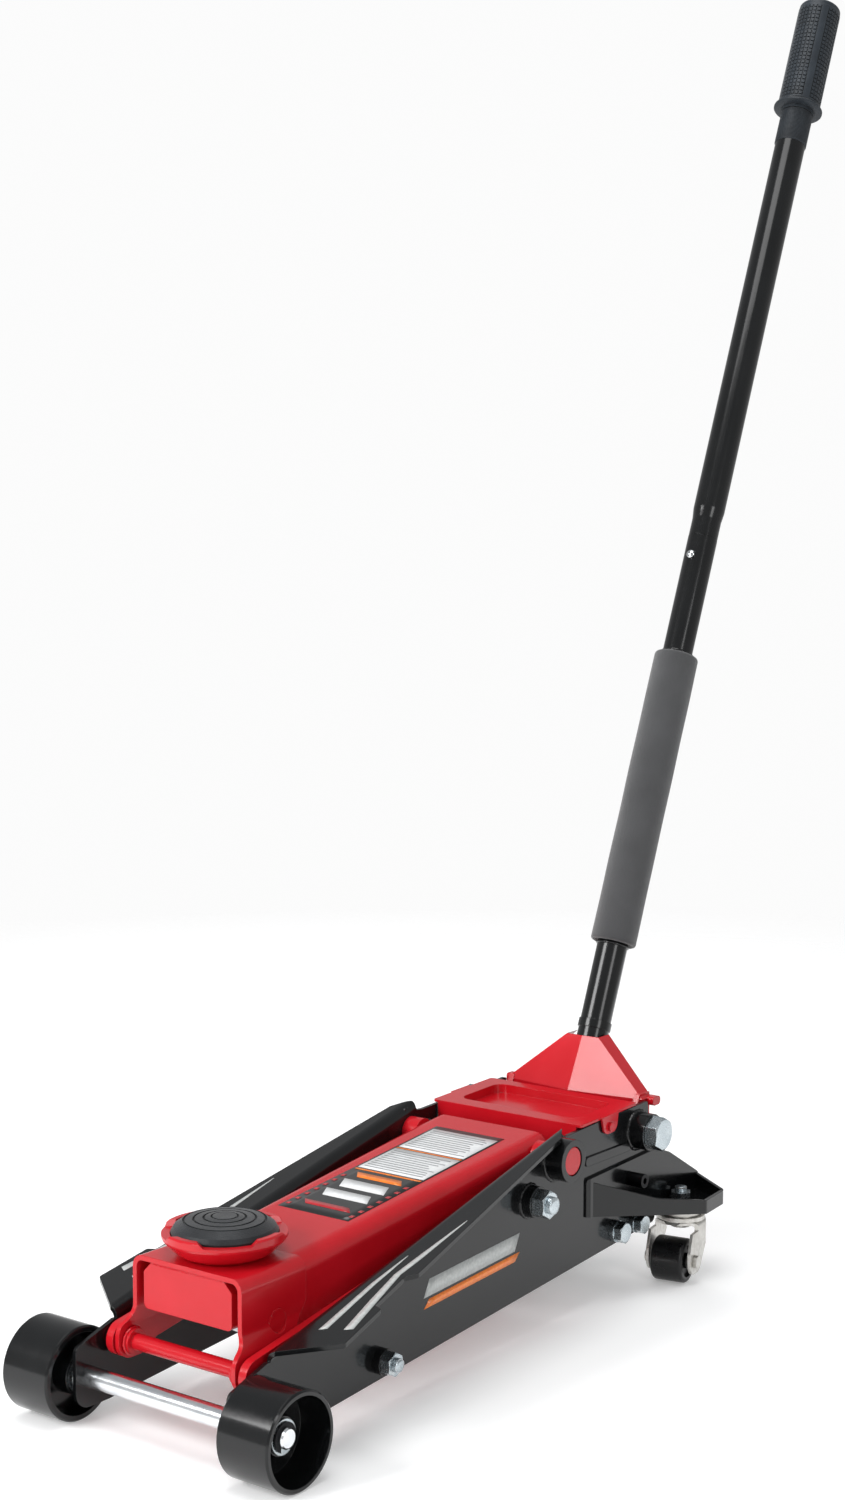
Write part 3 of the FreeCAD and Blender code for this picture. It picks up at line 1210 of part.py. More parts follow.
os.makedirs("parts", exist_ok=True)
for item in nodes:
    shape = item.Shape.copy()
    shape.translate(V(0, -size("frame_back"), 0))
    shape.exportStep(f"parts/{item.Label}.step")
print(len(nodes), "sub-parts written")
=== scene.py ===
"""Looks for the hydraulic floor jack: paint, plating, rubber and foam, weld beads, threads, plain decals,
a studio and a camera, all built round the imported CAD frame. Metres."""
import json
import math
import random

import bmesh
import bpy
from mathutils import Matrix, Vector


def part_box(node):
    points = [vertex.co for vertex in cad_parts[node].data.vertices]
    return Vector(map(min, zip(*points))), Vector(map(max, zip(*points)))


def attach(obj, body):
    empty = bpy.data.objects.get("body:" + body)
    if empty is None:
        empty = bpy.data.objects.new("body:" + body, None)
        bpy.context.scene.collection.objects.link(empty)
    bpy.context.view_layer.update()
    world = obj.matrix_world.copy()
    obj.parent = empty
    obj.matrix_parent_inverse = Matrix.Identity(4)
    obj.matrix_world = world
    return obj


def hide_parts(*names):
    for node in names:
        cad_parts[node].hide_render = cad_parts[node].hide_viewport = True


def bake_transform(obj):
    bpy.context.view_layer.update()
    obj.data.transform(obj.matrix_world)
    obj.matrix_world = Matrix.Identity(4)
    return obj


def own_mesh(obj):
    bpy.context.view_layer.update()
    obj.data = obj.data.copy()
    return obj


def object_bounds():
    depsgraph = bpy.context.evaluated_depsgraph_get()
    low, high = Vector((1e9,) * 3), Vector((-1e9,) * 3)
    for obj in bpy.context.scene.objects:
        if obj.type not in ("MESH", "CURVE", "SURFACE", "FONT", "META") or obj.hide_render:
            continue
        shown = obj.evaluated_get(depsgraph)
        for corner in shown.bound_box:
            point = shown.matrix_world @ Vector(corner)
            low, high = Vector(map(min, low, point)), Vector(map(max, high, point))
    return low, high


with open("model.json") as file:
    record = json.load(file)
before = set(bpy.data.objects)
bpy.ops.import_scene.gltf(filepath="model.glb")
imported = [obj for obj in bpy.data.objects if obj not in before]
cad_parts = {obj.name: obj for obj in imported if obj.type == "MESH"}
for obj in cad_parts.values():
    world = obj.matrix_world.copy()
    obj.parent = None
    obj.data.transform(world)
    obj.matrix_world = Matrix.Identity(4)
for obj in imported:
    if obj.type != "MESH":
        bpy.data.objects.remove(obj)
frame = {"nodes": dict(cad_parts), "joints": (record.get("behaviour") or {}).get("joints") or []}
cad_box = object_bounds()
random.seed(7)

MM = 0.001
X = Vector((1, 0, 0))
Y = Vector((0, 1, 0))
Z = Vector((0, 0, 1))
nodes = frame["nodes"]
joints = {joint["name"]: joint for joint in frame["joints"]}


# ------------------------------------------------------------------ materials

def srgb(code):
    """A linear colour from a hex code."""
    values = [int(code[i:i + 2], 16) / 255 for i in (0, 2, 4)]
    return [v / 12.92 if v <= 0.04045 else ((v + 0.055) / 1.055) ** 2.4 for v in values] + [1.0]


class Shader:
    """Small helper that wires up a node material."""

    def __init__(self, name):
        self.material = bpy.data.materials.new(name)
        self.material.use_nodes = True
        self.tree = self.material.node_tree
        self.bsdf = self.tree.nodes["Principled BSDF"]
        self.place = self.add("ShaderNodeTexCoord").outputs["Object"]

    def add(self, kind, **inputs):
        made = self.tree.nodes.new(kind)
        for key, value in inputs.items():
            self.put(made.inputs[key.replace("_", " ")], value)
        return made

    def put(self, socket, value):
        """Links another node's output to a socket, or writes a plain value into it."""
        if isinstance(value, bpy.types.NodeSocket):
            self.tree.links.new(value, socket)
        else:
            socket.default_value = value

    def set(self, **inputs):
        for key, value in inputs.items():
            self.put(self.bsdf.inputs[key.replace("_", " ")], value)

    def noise(self, scale, detail=3.0, roughness=0.55, stretch=None):
        place = self.place
        if stretch:
            mapping = self.add("ShaderNodeMapping", Vector=place, Scale=stretch)
            place = mapping.outputs["Vector"]
        made = self.add("ShaderNodeTexNoise", Vector=place, Scale=scale, Detail=detail, Roughness=roughness)
        return made.outputs["Fac"]

    def cells(self, scale):
        made = self.add("ShaderNodeTexVoronoi", Vector=self.place, Scale=scale)
        return made.outputs["Distance"]

    def ramp(self, value, stops):
        """Maps a value through (position, colour or grey) stops."""
        made = self.add("ShaderNodeValToRGB", Fac=value)
        while len(made.color_ramp.elements) < len(stops):
            made.color_ramp.elements.new(0.5)
        for element, (position, colour) in zip(made.color_ramp.elements, stops):
            element.position = position
            element.color = colour if hasattr(colour, "__len__") else [colour, colour, colour, 1]
        return made.outputs["Color"]

    def mix(self, factor, first, second):
        made = self.tree.nodes.new("ShaderNodeMix")
        made.data_type = "RGBA"
        self.put(made.inputs["Factor"], factor)
        self.put(made.inputs["A"], first)
        self.put(made.inputs["B"], second)
        return made.outputs["Result"]

    def maths(self, operation, first, second):
        made = self.tree.nodes.new("ShaderNodeMath")
        made.operation = operation
        self.put(made.inputs[0], first)
        self.put(made.inputs[1], second)
        return made.outputs[0]

    def bump(self, height, distance, strength=1.0, soften=0.0):
        """Bumps the surface; soften rounds the edges of hard-edged parts by that many metres."""
        made = self.add("ShaderNodeBump", Height=height, Distance=distance, Strength=strength)
        if soften:
            edge = self.add("ShaderNodeBevel", Radius=soften)
            edge.samples = 4
            self.put(made.inputs["Normal"], edge.outputs["Normal"])
        self.put(self.bsdf.inputs["Normal"], made.outputs["Normal"])

    def edges(self, low, high):
        """Worn-edge mask from surface pointiness, broken up by noise."""
        point = self.add("ShaderNodeNewGeometry").outputs["Pointiness"]
        mask = self.ramp(point, [(low, 0.0), (high, 1.0)])
        return self.maths("MULTIPLY", mask, self.ramp(self.noise(220, 5), [(0.45, 0.0), (0.62, 1.0)]))


def enamel(name, colour, light, roughness):
    """Glossy sprayed enamel with faint orange peel."""
    s = Shader(name)
    shade = s.mix(s.ramp(s.noise(14, 4), [(0.35, 0.0), (0.75, 1.0)]), srgb(colour), srgb(light))
    s.set(Base_Color=shade, Coat_Weight=0.1, Coat_Roughness=0.03, IOR=1.42)
    s.set(Roughness=s.ramp(s.noise(60, 4), [(0.3, roughness * 0.9), (0.8, roughness * 1.15)]))
    peel = s.maths("ADD", s.noise(200, 2), s.maths("MULTIPLY", s.noise(40, 3), 2.0))
    s.bump(peel, 0.00004, 0.5, soften=0.0009)
    return s.material


def plated(name, colour, light, roughness, stretch=(1, 1, 1), wear=0.0, grain=700):
    """Plated or turned metal with fine tool marks, cloudy tarnish and, if asked, bright worn edges."""
    s = Shader(name)
    shade = s.mix(s.ramp(s.noise(55, 5), [(0.3, 0.0), (0.72, 1.0)]), srgb(colour), srgb(light))
    if wear:
        shade = s.mix(s.maths("MULTIPLY", s.edges(0.55, 0.64), wear), shade, srgb("E6E6E4"))
    s.set(Base_Color=shade, Metallic=1.0)
    marks = s.noise(grain, 3, 0.6, stretch)
    s.set(Roughness=s.ramp(marks, [(0.25, roughness * 0.7), (0.8, roughness * 1.4)]))
    s.bump(marks, 0.00004, 0.45, soften=0.0005)
    return s.material


def moulded(name, colour, light, roughness, grain, depth, sheen=0.0):
    """Moulded rubber or plastic with a fine surface grain."""
    s = Shader(name)
    shade = s.mix(s.ramp(s.noise(35, 4), [(0.35, 0.0), (0.7, 1.0)]), srgb(colour), srgb(light))
    dust = s.ramp(s.noise(9, 5), [(0.55, 0.0), (0.85, 0.25)])
    s.set(Base_Color=s.mix(dust, shade, srgb("4A4C4E")), Sheen_Weight=sheen, Sheen_Roughness=0.5)
    s.set(Roughness=s.ramp(s.noise(120, 3), [(0.3, roughness * 0.85), (0.8, min(1, roughness * 1.15))]),
          Specular_IOR_Level=0.3)
    s.bump(s.maths("ADD", s.noise(grain, 3), s.cells(grain * 0.7)), depth, 0.6, soften=0.0004)
    return s.material


def grip_material():
    """Moulded grip rubber, with painted shade in its grooves: an occlusion mask darkens their colour."""
    material = moulded("grip rubber", "1C2228", "2A3138", 0.42, 1400, 0.00008, 0.1)
    tree = material.node_tree
    bsdf = tree.nodes["Principled BSDF"]
    plain = bsdf.inputs["Base Color"].links[0].from_socket
    # Painted shade: an ambient-occlusion mask darkens the rubber's colour in grooves and hollows, down to
    # about an eighth.
    groove_shade_mask = tree.nodes.new("ShaderNodeAmbientOcclusion")
    groove_shade_mask.inputs["Distance"].default_value = 0.0015
    depth = tree.nodes.new("ShaderNodeValToRGB")
    depth.color_ramp.elements[0].position = 0.55
    depth.color_ramp.elements[0].color = (0.12, 0.12, 0.12, 1)
    depth.color_ramp.elements[1].position = 0.85
    painted_groove_shade = tree.nodes.new("ShaderNodeMix")
    painted_groove_shade.data_type = "RGBA"
    painted_groove_shade.blend_type = "MULTIPLY"
    painted_groove_shade.inputs["Factor"].default_value = 1
    tree.links.new(groove_shade_mask.outputs["AO"], depth.inputs["Fac"])
    tree.links.new(plain, painted_groove_shade.inputs["A"])
    tree.links.new(depth.outputs["Color"], painted_groove_shade.inputs["B"])
    tree.links.new(painted_groove_shade.outputs["Result"], bsdf.inputs["Base Color"])
    return material


def foam_material():
    """Closed-cell foam: tiny open pores with painted shade in them, soft sheen and slow changes of tone."""
    s = Shader("foam")
    pores = s.cells(1500)
    shade = s.mix(s.ramp(s.noise(24, 5), [(0.3, 0.0), (0.75, 1.0)]), srgb("2A2B2D"), srgb("37383A"))
    # Painted shade: the colour is darkened towards 1E1F20 in the pores, as if shade fell inside them.
    s.set(Base_Color=s.mix(s.ramp(pores, [(0.05, 0.55), (0.4, 0.0)]), shade, srgb("1E1F20")),
          Roughness=0.88, Sheen_Weight=0.35, Sheen_Roughness=0.6)
    s.bump(s.maths("ADD", pores, s.noise(500, 4)), 0.00035, 0.8)
    return s.material


def printed(name, colour, light, roughness=0.32):
    """Ink on glossy film."""
    s = Shader(name)
    shade = s.mix(s.ramp(s.noise(300, 3), [(0.4, 0.0), (0.7, 1.0)]), srgb(colour), srgb(light))
    s.set(Base_Color=shade, Roughness=roughness, Coat_Weight=0.4, Coat_Roughness=0.12)
    s.bump(s.noise(160, 2), 0.00003, 0.4)
    return s.material


red = enamel("red enamel", "B5101B", "C01824", 0.2)
black = enamel("black enamel", "0B0C0D", "131415", 0.17)
cast_black = moulded("painted casting", "101112", "1B1C1D", 0.5, 260, 0.0004)
zinc = plated("bright zinc", "A9B4BA", "C9D2D6", 0.26, wear=0.5)
axle_steel = plated("ground axle", "E0E4E8", "F2F4F6", 0.2, (60, 1, 1), grain=60)
steel = plated("turned steel", "8A8D90", "B4B6B8", 0.3, (1, 60, 60), grain=40)
wire_steel = plated("spring wire", "3C3E42", "5A5C60", 0.34)
chrome = plated("plated rod", "CDD0D3", "E6E8EA", 0.1, (1, 30, 1), grain=50)
oxide = plated("black oxide", "1B1B1C", "2C2C2E", 0.38)
nickel = plated("satin fork", "B9B6B0", "D6D4CF", 0.36, wear=0.4)
rubber = moulded("pad rubber", "15171A", "1F2226", 0.5, 900, 0.00018, 0.15)
tread = moulded("caster polymer", "0C0C0D", "161617", 0.3, 500, 0.00008)
grip_rubber = grip_material()
foam = foam_material()
print_black = printed("label black", "121212", "1C1C1D")
print_white = printed("label white", "D9DADB", "E4E5E5")
print_grey = printed("label grey", "85888A", "93969A")
print_orange = printed("label orange", "E4701C", "F08A24")
print_silver = printed("stripe silver", "A9ACAB", "BCBFBD", 0.4)
print_red = printed("label red", "A81620", "BC1E28")

FINISHES = {
    red: ["lift_arm", "arm_pivot_shaft", "arm_crank", "saddle_head", "saddle_socket_box", "head_pivot_pin",
          "head_cross_shaft", "saddle_cup", "leveling_link_right", "leveling_link_left", "handle_yoke",
          "handle_socket", "top_tray", "tray_screws"],
    black: ["side_plate_right", "side_plate_left", "front_wheel_right", "front_wheel_left",
            "arm_pivot_bosses", "stud_bosses", "handle_pivot_bosses", "ram_cylinder",
            "caster_bracket_right", "caster_bracket_left", "lower_handle_tube", "upper_handle_tube"],
    cast_black: ["power_unit_block"],
    axle_steel: ["front_axle", "front_tie_rod"],
    zinc: ["axle_washers", "tie_rod_nuts", "link_pivot_studs", "link_pivot_nuts", "handle_pivot_bolts",
           "cylinder_gland_nut", "spring_anchor_pins", "release_valve", "safety_valve_cap",
           "power_unit_bolts", "caster_stud_nuts", "roller_pin"],
    oxide: ["bracket_screws", "axle_clips"],
    chrome: ["piston_rod", "pump_plunger", "spring_button"],
    wire_steel: ["plunger_spring", "return_springs"],
    nickel: ["caster_mount_plates", "caster_fork_right", "caster_fork_left", "caster_axle_right",
             "caster_axle_left"],
    steel: ["pump_roller"],
    tread: ["caster_wheel_right", "caster_wheel_left"],
    rubber: ["saddle_pad", "oil_filler_plug"],
    foam: ["foam_sleeve"],
    grip_rubber: ["handle_grip"],
}


def shade_by_angle(mesh, degrees=32):
    """Smooth faces with sharp edges kept above an angle; vertices stay where they are."""
    for polygon in mesh.polygons:
        polygon.use_smooth = True
    mesh.set_sharp_from_angle(angle=math.radians(degrees))


for material, names in FINISHES.items():
    for name in names:
        mesh = nodes[name].data
        mesh.materials.clear()
        mesh.materials.append(material)
        shade_by_angle(mesh)


# ------------------------------------------------------------------ building pieces

def piece(name, mesh, material, body):
    """Links a finished mesh as a piece; it rides on a CAD body unless body is None."""
    made = bpy.data.objects.new(name, mesh)
    bpy.context.scene.collection.objects.link(made)
    mesh.materials.append(material)
    shade_by_angle(mesh, 40)
    if body:
        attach(made, body)
    return made


def frame_about(axis):
    """Two unit vectors square to an axis."""
    axis = Vector(axis).normalized()
    first = axis.cross(Z if abs(axis.z) < 0.9 else X).normalized()
    return axis, first, axis.cross(first)


def lathe_mesh(name, origin, axis, profile, segments=72, relief=None):
    """Closed surface of revolution. profile is a loop of (radius, distance along the axis);
    relief(angle, along) is added to a point's radius."""
    axis, first, second = frame_about(axis)
    origin = Vector(origin)
    bm = bmesh.new()
    rings = []
    for radius, along in profile:
        ring = []
        for step in range(segments):
            angle = 2 * math.pi * step / segments
            reach = radius + (relief(angle, along) if relief else 0)
            spoke = first * math.cos(angle) + second * math.sin(angle)
            ring.append(bm.verts.new(origin + axis * along + spoke * reach))
        rings.append(ring)
    for low, high in zip(rings, rings[1:] + rings[:1]):
        for step in range(segments):
            following = (step + 1) % segments
            bm.faces.new((low[step], low[following], high[following], high[step]))
    return finished_mesh(name, bm)


RIPPLE_STEP = 1.9
WELD_END = 0.35


def sweep(bm, path, thickness, closed=False, sides=8, ripple=0.0):
    """Adds a round bar along a path of points; ripple makes its thickness uneven, like a weld's."""
    count = len(path)
    rings = []
    first = None
    for index, centre in enumerate(path):
        ahead = path[(index + 1) % count] if closed or index + 1 < count else centre
        behind = path[index - 1] if closed or index else centre
        along = (ahead - behind).normalized()
        if first is None:
            _, first, _ = frame_about(along)
        first = (first - along * first.dot(along)).normalized()
        second = along.cross(first)
        reach = thickness * (1 + ripple * (math.sin(index * RIPPLE_STEP) + random.uniform(-0.4, 0.4)))
        if ripple and not closed and index in (0, count - 1):
            reach = thickness * WELD_END
        ring = []
        for side in range(sides):
            angle = 2 * math.pi * side / sides
            ring.append(bm.verts.new(centre + (first * math.cos(angle) + second * math.sin(angle)) * reach))
        rings.append(ring)
    for index in range(count if closed else count - 1):
        low, high = rings[index], rings[(index + 1) % count]
        for side in range(sides):
            after = (side + 1) % sides
            bm.faces.new((low[side], low[after], high[after], high[side]))
    if not closed:
        bm.faces.new(rings[0][::-1])
        bm.faces.new(rings[-1])


def finished_mesh(name, bm):
    """The mesh of a bmesh, with its normals facing outwards."""
    bmesh.ops.recalc_face_normals(bm, faces=bm.faces)
    mesh = bpy.data.meshes.new(name)
    bm.to_mesh(mesh)
    bm.free()
    return mesh


def weld_mesh(name, path, thickness, closed=False):
    """A rippled weld bead along a path of points."""
    bm = bmesh.new()
    sweep(bm, path, thickness, closed, ripple=0.16)
    return finished_mesh(name, bm)


def coil_path(start, axis, radius, length, pitch, spacing=1.6 * MM):
    """Points along a helix."""
    axis, first, second = frame_about(axis)
    turns = length / pitch
    count = math.ceil(turns * 2 * math.pi * radius / spacing)
    points = []
    for step in range(count + 1):
        angle = turns * 2 * math.pi * step / count
        spoke = first * math.cos(angle) + second * math.sin(angle)
        points.append(Vector(start) + axis * (length * step / count) + spoke * radius)
    return points


def ring_path(centre, axis, radius, spacing=1.5 * MM):
    """Points round a circle, about one ripple apart."""
    _, first, second = frame_about(axis)
    turn = 2 * math.pi
    count = max(12, round(turn * radius / spacing))
    angles = [turn * index / count for index in range(count)]
    return [Vector(centre) + (first * math.cos(a) + second * math.sin(a)) * radius for a in angles]


def line_path(start, finish, spacing=1.5 * MM):
    """Points along a straight line."""
    start, finish = Vector(start), Vector(finish)
    count = max(4, round((finish - start).length / spacing))
    return [start.lerp(finish, i / count) for i in range(count + 1)]


def box_centre(name):
    """The middle of a CAD node's box."""
    low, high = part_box(name)
    return (low + high) / 2


def joint_line(name):
    """A point and a unit direction on a joint's axis."""
    joint = joints[name]
    return Vector(joint["pos_m"]), Vector(joint["axis"]).normalized()


# ------------------------------------------------------------------ weld beads

AXLE_Y = box_centre("front_axle").y
arm_pivot, _ = joint_line("lift")
link_pivot, _ = joint_line("link_swing")
yoke_pivot, _ = joint_line("handle_stroke")
cross_shaft = box_centre("head_cross_shaft")
socket_low, socket_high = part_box("saddle_socket_box")
SIDES = (("right", 1), ("left", -1))
PLATE_FACE = 89.5 * MM
HEAD_FACE = 61.6 * MM
BOSS_WELDS = (
    # name, centre, radius of the ring, thickness of the bead
    ("arm_boss", arm_pivot, 20.9 * MM, 2.3 * MM),
    ("yoke_boss", yoke_pivot, 18.9 * MM, 2.2 * MM),
    ("stud_boss", link_pivot, 15.4 * MM, 1.9 * MM),
)
SHAFT_WELD_RADIUS = 11.2 * MM
SHAFT_BEAD = 1.5 * MM
SEAM_BEAD = 1.6 * MM
for side, sign in SIDES:
    for label, centre, radius, bead in BOSS_WELDS:
        path = ring_path((sign * PLATE_FACE, centre.y, centre.z), X, radius)
        ring = weld_mesh("weld", path, bead, closed=True)
        piece(f"weld_{label}_{side}", ring, black, "frame")
    path = ring_path((sign * HEAD_FACE, cross_shaft.y, cross_shaft.z), X, SHAFT_WELD_RADIUS)
    ring = weld_mesh("weld", path, SHAFT_BEAD, closed=True)
    piece(f"weld_shaft_{side}", ring, red, "head")

seam_inset = 9 * MM
seam_y = socket_low.y + 1.2 * MM
seam_z = socket_high.z - 0.6 * MM
seam = line_path((socket_low.x + seam_inset, seam_y, seam_z), (socket_high.x - seam_inset, seam_y, seam_z))
piece("weld_socket_top", weld_mesh("weld", seam, SEAM_BEAD), red, "head")


# ------------------------------------------------------------------ threads on the stud and bolt ends

def thread(name, centre, axis, radius, length, pitch, body):
    """Rolled thread with a chamfered end, standing just proud of its plain CAD shank."""
    root, crest, middle, start = 0.02 * MM, 0.3 * MM, 0.02 * MM, -0.2 * MM
    profile = [(radius * 0.5, start)]
    for turn in range(int(length / pitch)):
        base = turn * pitch
        profile.append((radius + root, base + pitch * 0.1))
        profile.append((radius + crest, base + pitch * 0.5))
        profile.append((radius + root, base + pitch * 0.9))
    profile.append((radius * 0.86, length + 0.5 * MM))
    profile.append((radius * 0.5, length + 0.9 * MM))
    profile.append((middle, length + 1.0 * MM))
    profile.append((middle, start))
    piece(name, lathe_mesh(name, centre, axis, profile, 48), zinc, body)


STUD_RADIUS, STUD_PITCH = 8 * MM, 1.5 * MM
TIE_RADIUS, TIE_PITCH = 6 * MM, 1.25 * MM
tie_centre = box_centre("front_tie_rod")
_, nut_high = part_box("caster_stud_nuts")
_, stud_nut_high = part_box("link_pivot_nuts")
_, tie_nut_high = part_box("tie_rod_nuts")
_, stud_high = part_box("link_pivot_studs")
_, tie_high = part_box("front_tie_rod")
_, mount_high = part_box("caster_mount_plates")
for side, sign in SIDES:
    outward = X * sign
    thread(f"thread_stud_{side}", (sign * stud_nut_high.x, link_pivot.y, link_pivot.z), outward,
           STUD_RADIUS, stud_high.x - stud_nut_high.x, STUD_PITCH, "frame")
    thread(f"thread_tie_{side}", (sign * tie_nut_high.x, tie_centre.y, tie_centre.z), outward,
           TIE_RADIUS, tie_high.x - tie_nut_high.x, TIE_PITCH, "frame")
    swivel, _ = joint_line(f"caster_{side}_swivel")
    thread(f"thread_caster_{side}", (swivel.x, swivel.y, nut_high.z), Z,
           TIE_RADIUS, mount_high.z - nut_high.z, TIE_PITCH, "frame")

# ------------------------------------------------------------------ springs

def plunger_coil():
    """The pump plunger's spring, swept as a coil of wire."""
    low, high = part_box("plunger_spring")
    wire, radius, pitch = 1.3 * MM, 11.5 * MM, 5.4 * MM
    centre = (low + high) / 2
    foot = Vector((centre.x, centre.y, low.z + wire))
    bm = bmesh.new()
    path = coil_path(foot, Z, radius, high.z - low.z - 2 * wire, pitch)
    sweep(bm, path, wire, sides=10)
    made = piece("plunger_coil", finished_mesh("plunger_coil", bm), wire_steel, "frame")
    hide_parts("plunger_spring")
    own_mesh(made)


def return_coils():
    """Both extension springs, from the crank pin back to their anchor pins."""
    low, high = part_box("return_springs")
    pin_low, pin_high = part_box("spring_anchor_pins")
    wire, front_eye, rear_eye = 1.2 * MM, 9.6 * MM, 4.2 * MM
    coil_radius, pitch, neck, hook = 6 * MM, 3.2 * MM, 3 * MM, 3.4 * MM
    offset = pin_high.x - 2.5 * MM
    height = (low.z + high.z) / 2
    front = low.y + wire + front_eye
    rear = (pin_low.y + pin_high.y) / 2
    first = front + front_eye + neck
    last = rear - rear_eye - neck
    bm = bmesh.new()
    for sign in (1, -1):
        x = sign * offset
        sweep(bm, ring_path((x, front, height), X, front_eye), wire, closed=True)
        sweep(bm, ring_path((x, rear, height), Z, rear_eye), wire, closed=True)
        sweep(bm, coil_path((x, first, height), Y, coil_radius, last - first, pitch), wire)
        for end, reach in ((first, -hook), (last, hook)):
            sweep(bm, line_path((x, end + reach, height), (x, end, height)), wire)
            sweep(bm, line_path((x, end, height), (x, end, height + coil_radius)), wire)
    made = piece("return_coils", finished_mesh("return_coils", bm), wire_steel, None)
    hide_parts("return_springs")
    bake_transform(made)


plunger_coil()
return_coils()

# ------------------------------------------------------------------ hood


def hood_lip():
    """Turned-down front edge of the hood, which closes the view behind the tray."""
    gauge = 3 * MM
    high, low = 187.5 * MM, 171 * MM
    half, crease_back, corner_back = 80 * MM, 600 * MM, 610.5 * MM
    bm = bmesh.new()
    rings = []
    for across, back in ((-half, corner_back), (0, crease_back), (half, corner_back)):
        front = AXLE_Y + back
        corners = ((front, high), (front + gauge, high), (front + gauge, low), (front, low))
        rings.append([bm.verts.new((across, y, z)) for y, z in corners])
    for near, far in zip(rings, rings[1:]):
        for corner in range(4):
            following = (corner + 1) % 4
            bm.faces.new((near[corner], near[following], far[following], far[corner]))
    bm.faces.new(rings[0])
    bm.faces.new(rings[-1])
    return finished_mesh("hood_lip", bm)


piece("hood_lip", hood_lip(), red, "yoke")

# ------------------------------------------------------------------ handle: foam, grip, band and rings

handle_base, handle_axis = joint_line("handle_twist")
# Heights above the floor, measured on the leaning handle's axis
SLEEVE_LOW, SLEEVE_HIGH = 329 * MM, 629 * MM
BAND_LOW, BAND_HIGH = 1209 * MM, 1245 * MM
GRIP_LOW, GRIP_HIGH = 1250 * MM, 1376 * MM
GRIP_RADIUS = 24.3 * MM
GRIP_STEPS = 320
QUARTER = math.pi / 2


def along_handle(height):
    """Distance along the handle's axis from its foot to a height above the floor."""
    return (height - handle_base.z) / handle_axis.z


def foam_sleeve():
    """Soft sleeve with rolled ends and a slightly uneven skin, over the lower tube."""
    start, finish = along_handle(SLEEVE_LOW), along_handle(SLEEVE_HIGH)
    outer, inner, roll = 24 * MM, 16.4 * MM, 3.2 * MM
    roll_steps, length_steps = 6, 60
    profile = [(inner, start + roll)]
    for step in range(roll_steps + 1):
        angle = QUARTER * step / roll_steps
        profile.append((outer - roll + roll * math.sin(angle), start + roll - roll * math.cos(angle)))
    for step in range(1, length_steps):
        profile.append((outer, start + roll + (finish - start - 2 * roll) * step / length_steps))
    for step in range(roll_steps + 1):
        angle = QUARTER * step / roll_steps
        profile.append((outer - roll + roll * math.cos(angle), finish - roll + roll * math.sin(angle)))
    profile.append((inner, finish - roll))
    depth = 0.05
    waves = [(random.uniform(2, 6), random.uniform(20, 80), random.uniform(0, 6)) for _ in range(5)]

    def relief(angle, along):
        return sum(math.sin(round(n) * angle + k * along + p) for n, k, p in waves) * depth * MM

    return lathe_mesh("foam_sleeve_soft", handle_base, handle_axis, profile, 96, relief)


sleeve = piece("foam_sleeve_soft", foam_sleeve(), foam, "handle")
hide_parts("foam_sleeve")


def grip_mesh():
    """Moulded grip: guard flange, four checkered panels between smooth strips, and a domed end."""
    start, finish = along_handle(GRIP_LOW), along_handle(GRIP_HIGH)
    tube = 17.4 * MM
    guard = 28 * MM
    ring_gap = 0.55 * MM
    dome, dome_rise, dome_steps = 3.5 * MM, 3.3 * MM, 7
    profile = [(tube, start - 4 * MM), (19.3 * MM, start - 4 * MM), (19.4 * MM, start - 0.4 * MM),
               (guard - 1.5 * MM, start), (guard, start + 1.2 * MM), (guard, start + 2.8 * MM),
               (guard - 1.5 * MM, start + 4.2 * MM), (GRIP_RADIUS + 0.6 * MM, start + 4.9 * MM)]
    panel_low, panel_high = start + 9 * MM, finish - 10 * MM
    ring = start + 6 * MM
    while ring < finish - 4 * MM:
        profile.append((GRIP_RADIUS - 0.5 * MM, ring))
        ring += ring_gap
    for step in range(dome_steps + 1):
        angle = QUARTER * step / dome_steps
        profile.append((GRIP_RADIUS - 4 * MM + dome * math.cos(angle),
                        finish - dome + dome_rise * math.sin(angle)))
    profile.append((17.6 * MM, finish - 0.2 * MM))
    profile.append((tube, finish - 7.4 * MM))
    pitch = 5 * MM
    groove = 1.2 * MM
    land, sunk, strip = 0.5 * MM, -0.5 * MM, 0.45 * MM
    columns = 6
    panel_half = math.radians(34)

    def relief(angle, along):
        if not panel_low - 3 * MM < along < panel_high + 3 * MM:
            return 0.0
        quadrant = (angle + math.pi / 4) % QUARTER - math.pi / 4
        if abs(quadrant) > panel_half or not panel_low < along < panel_high:
            return strip
        column_width = 2 * panel_half / columns
        across = ((quadrant + panel_half) % column_width) / column_width * pitch
        down = (along - panel_low) % pitch
        near = min(across, pitch - across, down, pitch - down)
        return land if near > groove * 0.5 else sunk

    return lathe_mesh("handle_grip_moulded", handle_base, handle_axis, profile, GRIP_STEPS, relief)


grip = piece("handle_grip_moulded", grip_mesh(), grip_rubber, "handle")
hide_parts("handle_grip")


def end_cap():
    """Pale dished disc in the grip's end, with a small dark vent hole."""
    top = along_handle(GRIP_HIGH)
    profile = [(2.2 * MM, top - 4 * MM), (2.2 * MM, top - 0.9 * MM), (3 * MM, top - 0.5 * MM),
               (9 * MM, top - 0.2 * MM), (16 * MM, top + 0.3 * MM), (19.6 * MM, top + 0.5 * MM),
               (20.4 * MM, top - 0.1 * MM), (20.4 * MM, top - 0.8 * MM), (17 * MM, top - 1.6 * MM),
               (16 * MM, top - 4 * MM)]
    return lathe_mesh("grip_end_cap", handle_base, handle_axis, profile, 96)


cap_plastic = moulded("cap plastic", "6A7076", "7B8187", 0.45, 900, 0.00008)
piece("grip_end_cap", end_cap(), cap_plastic, "handle")


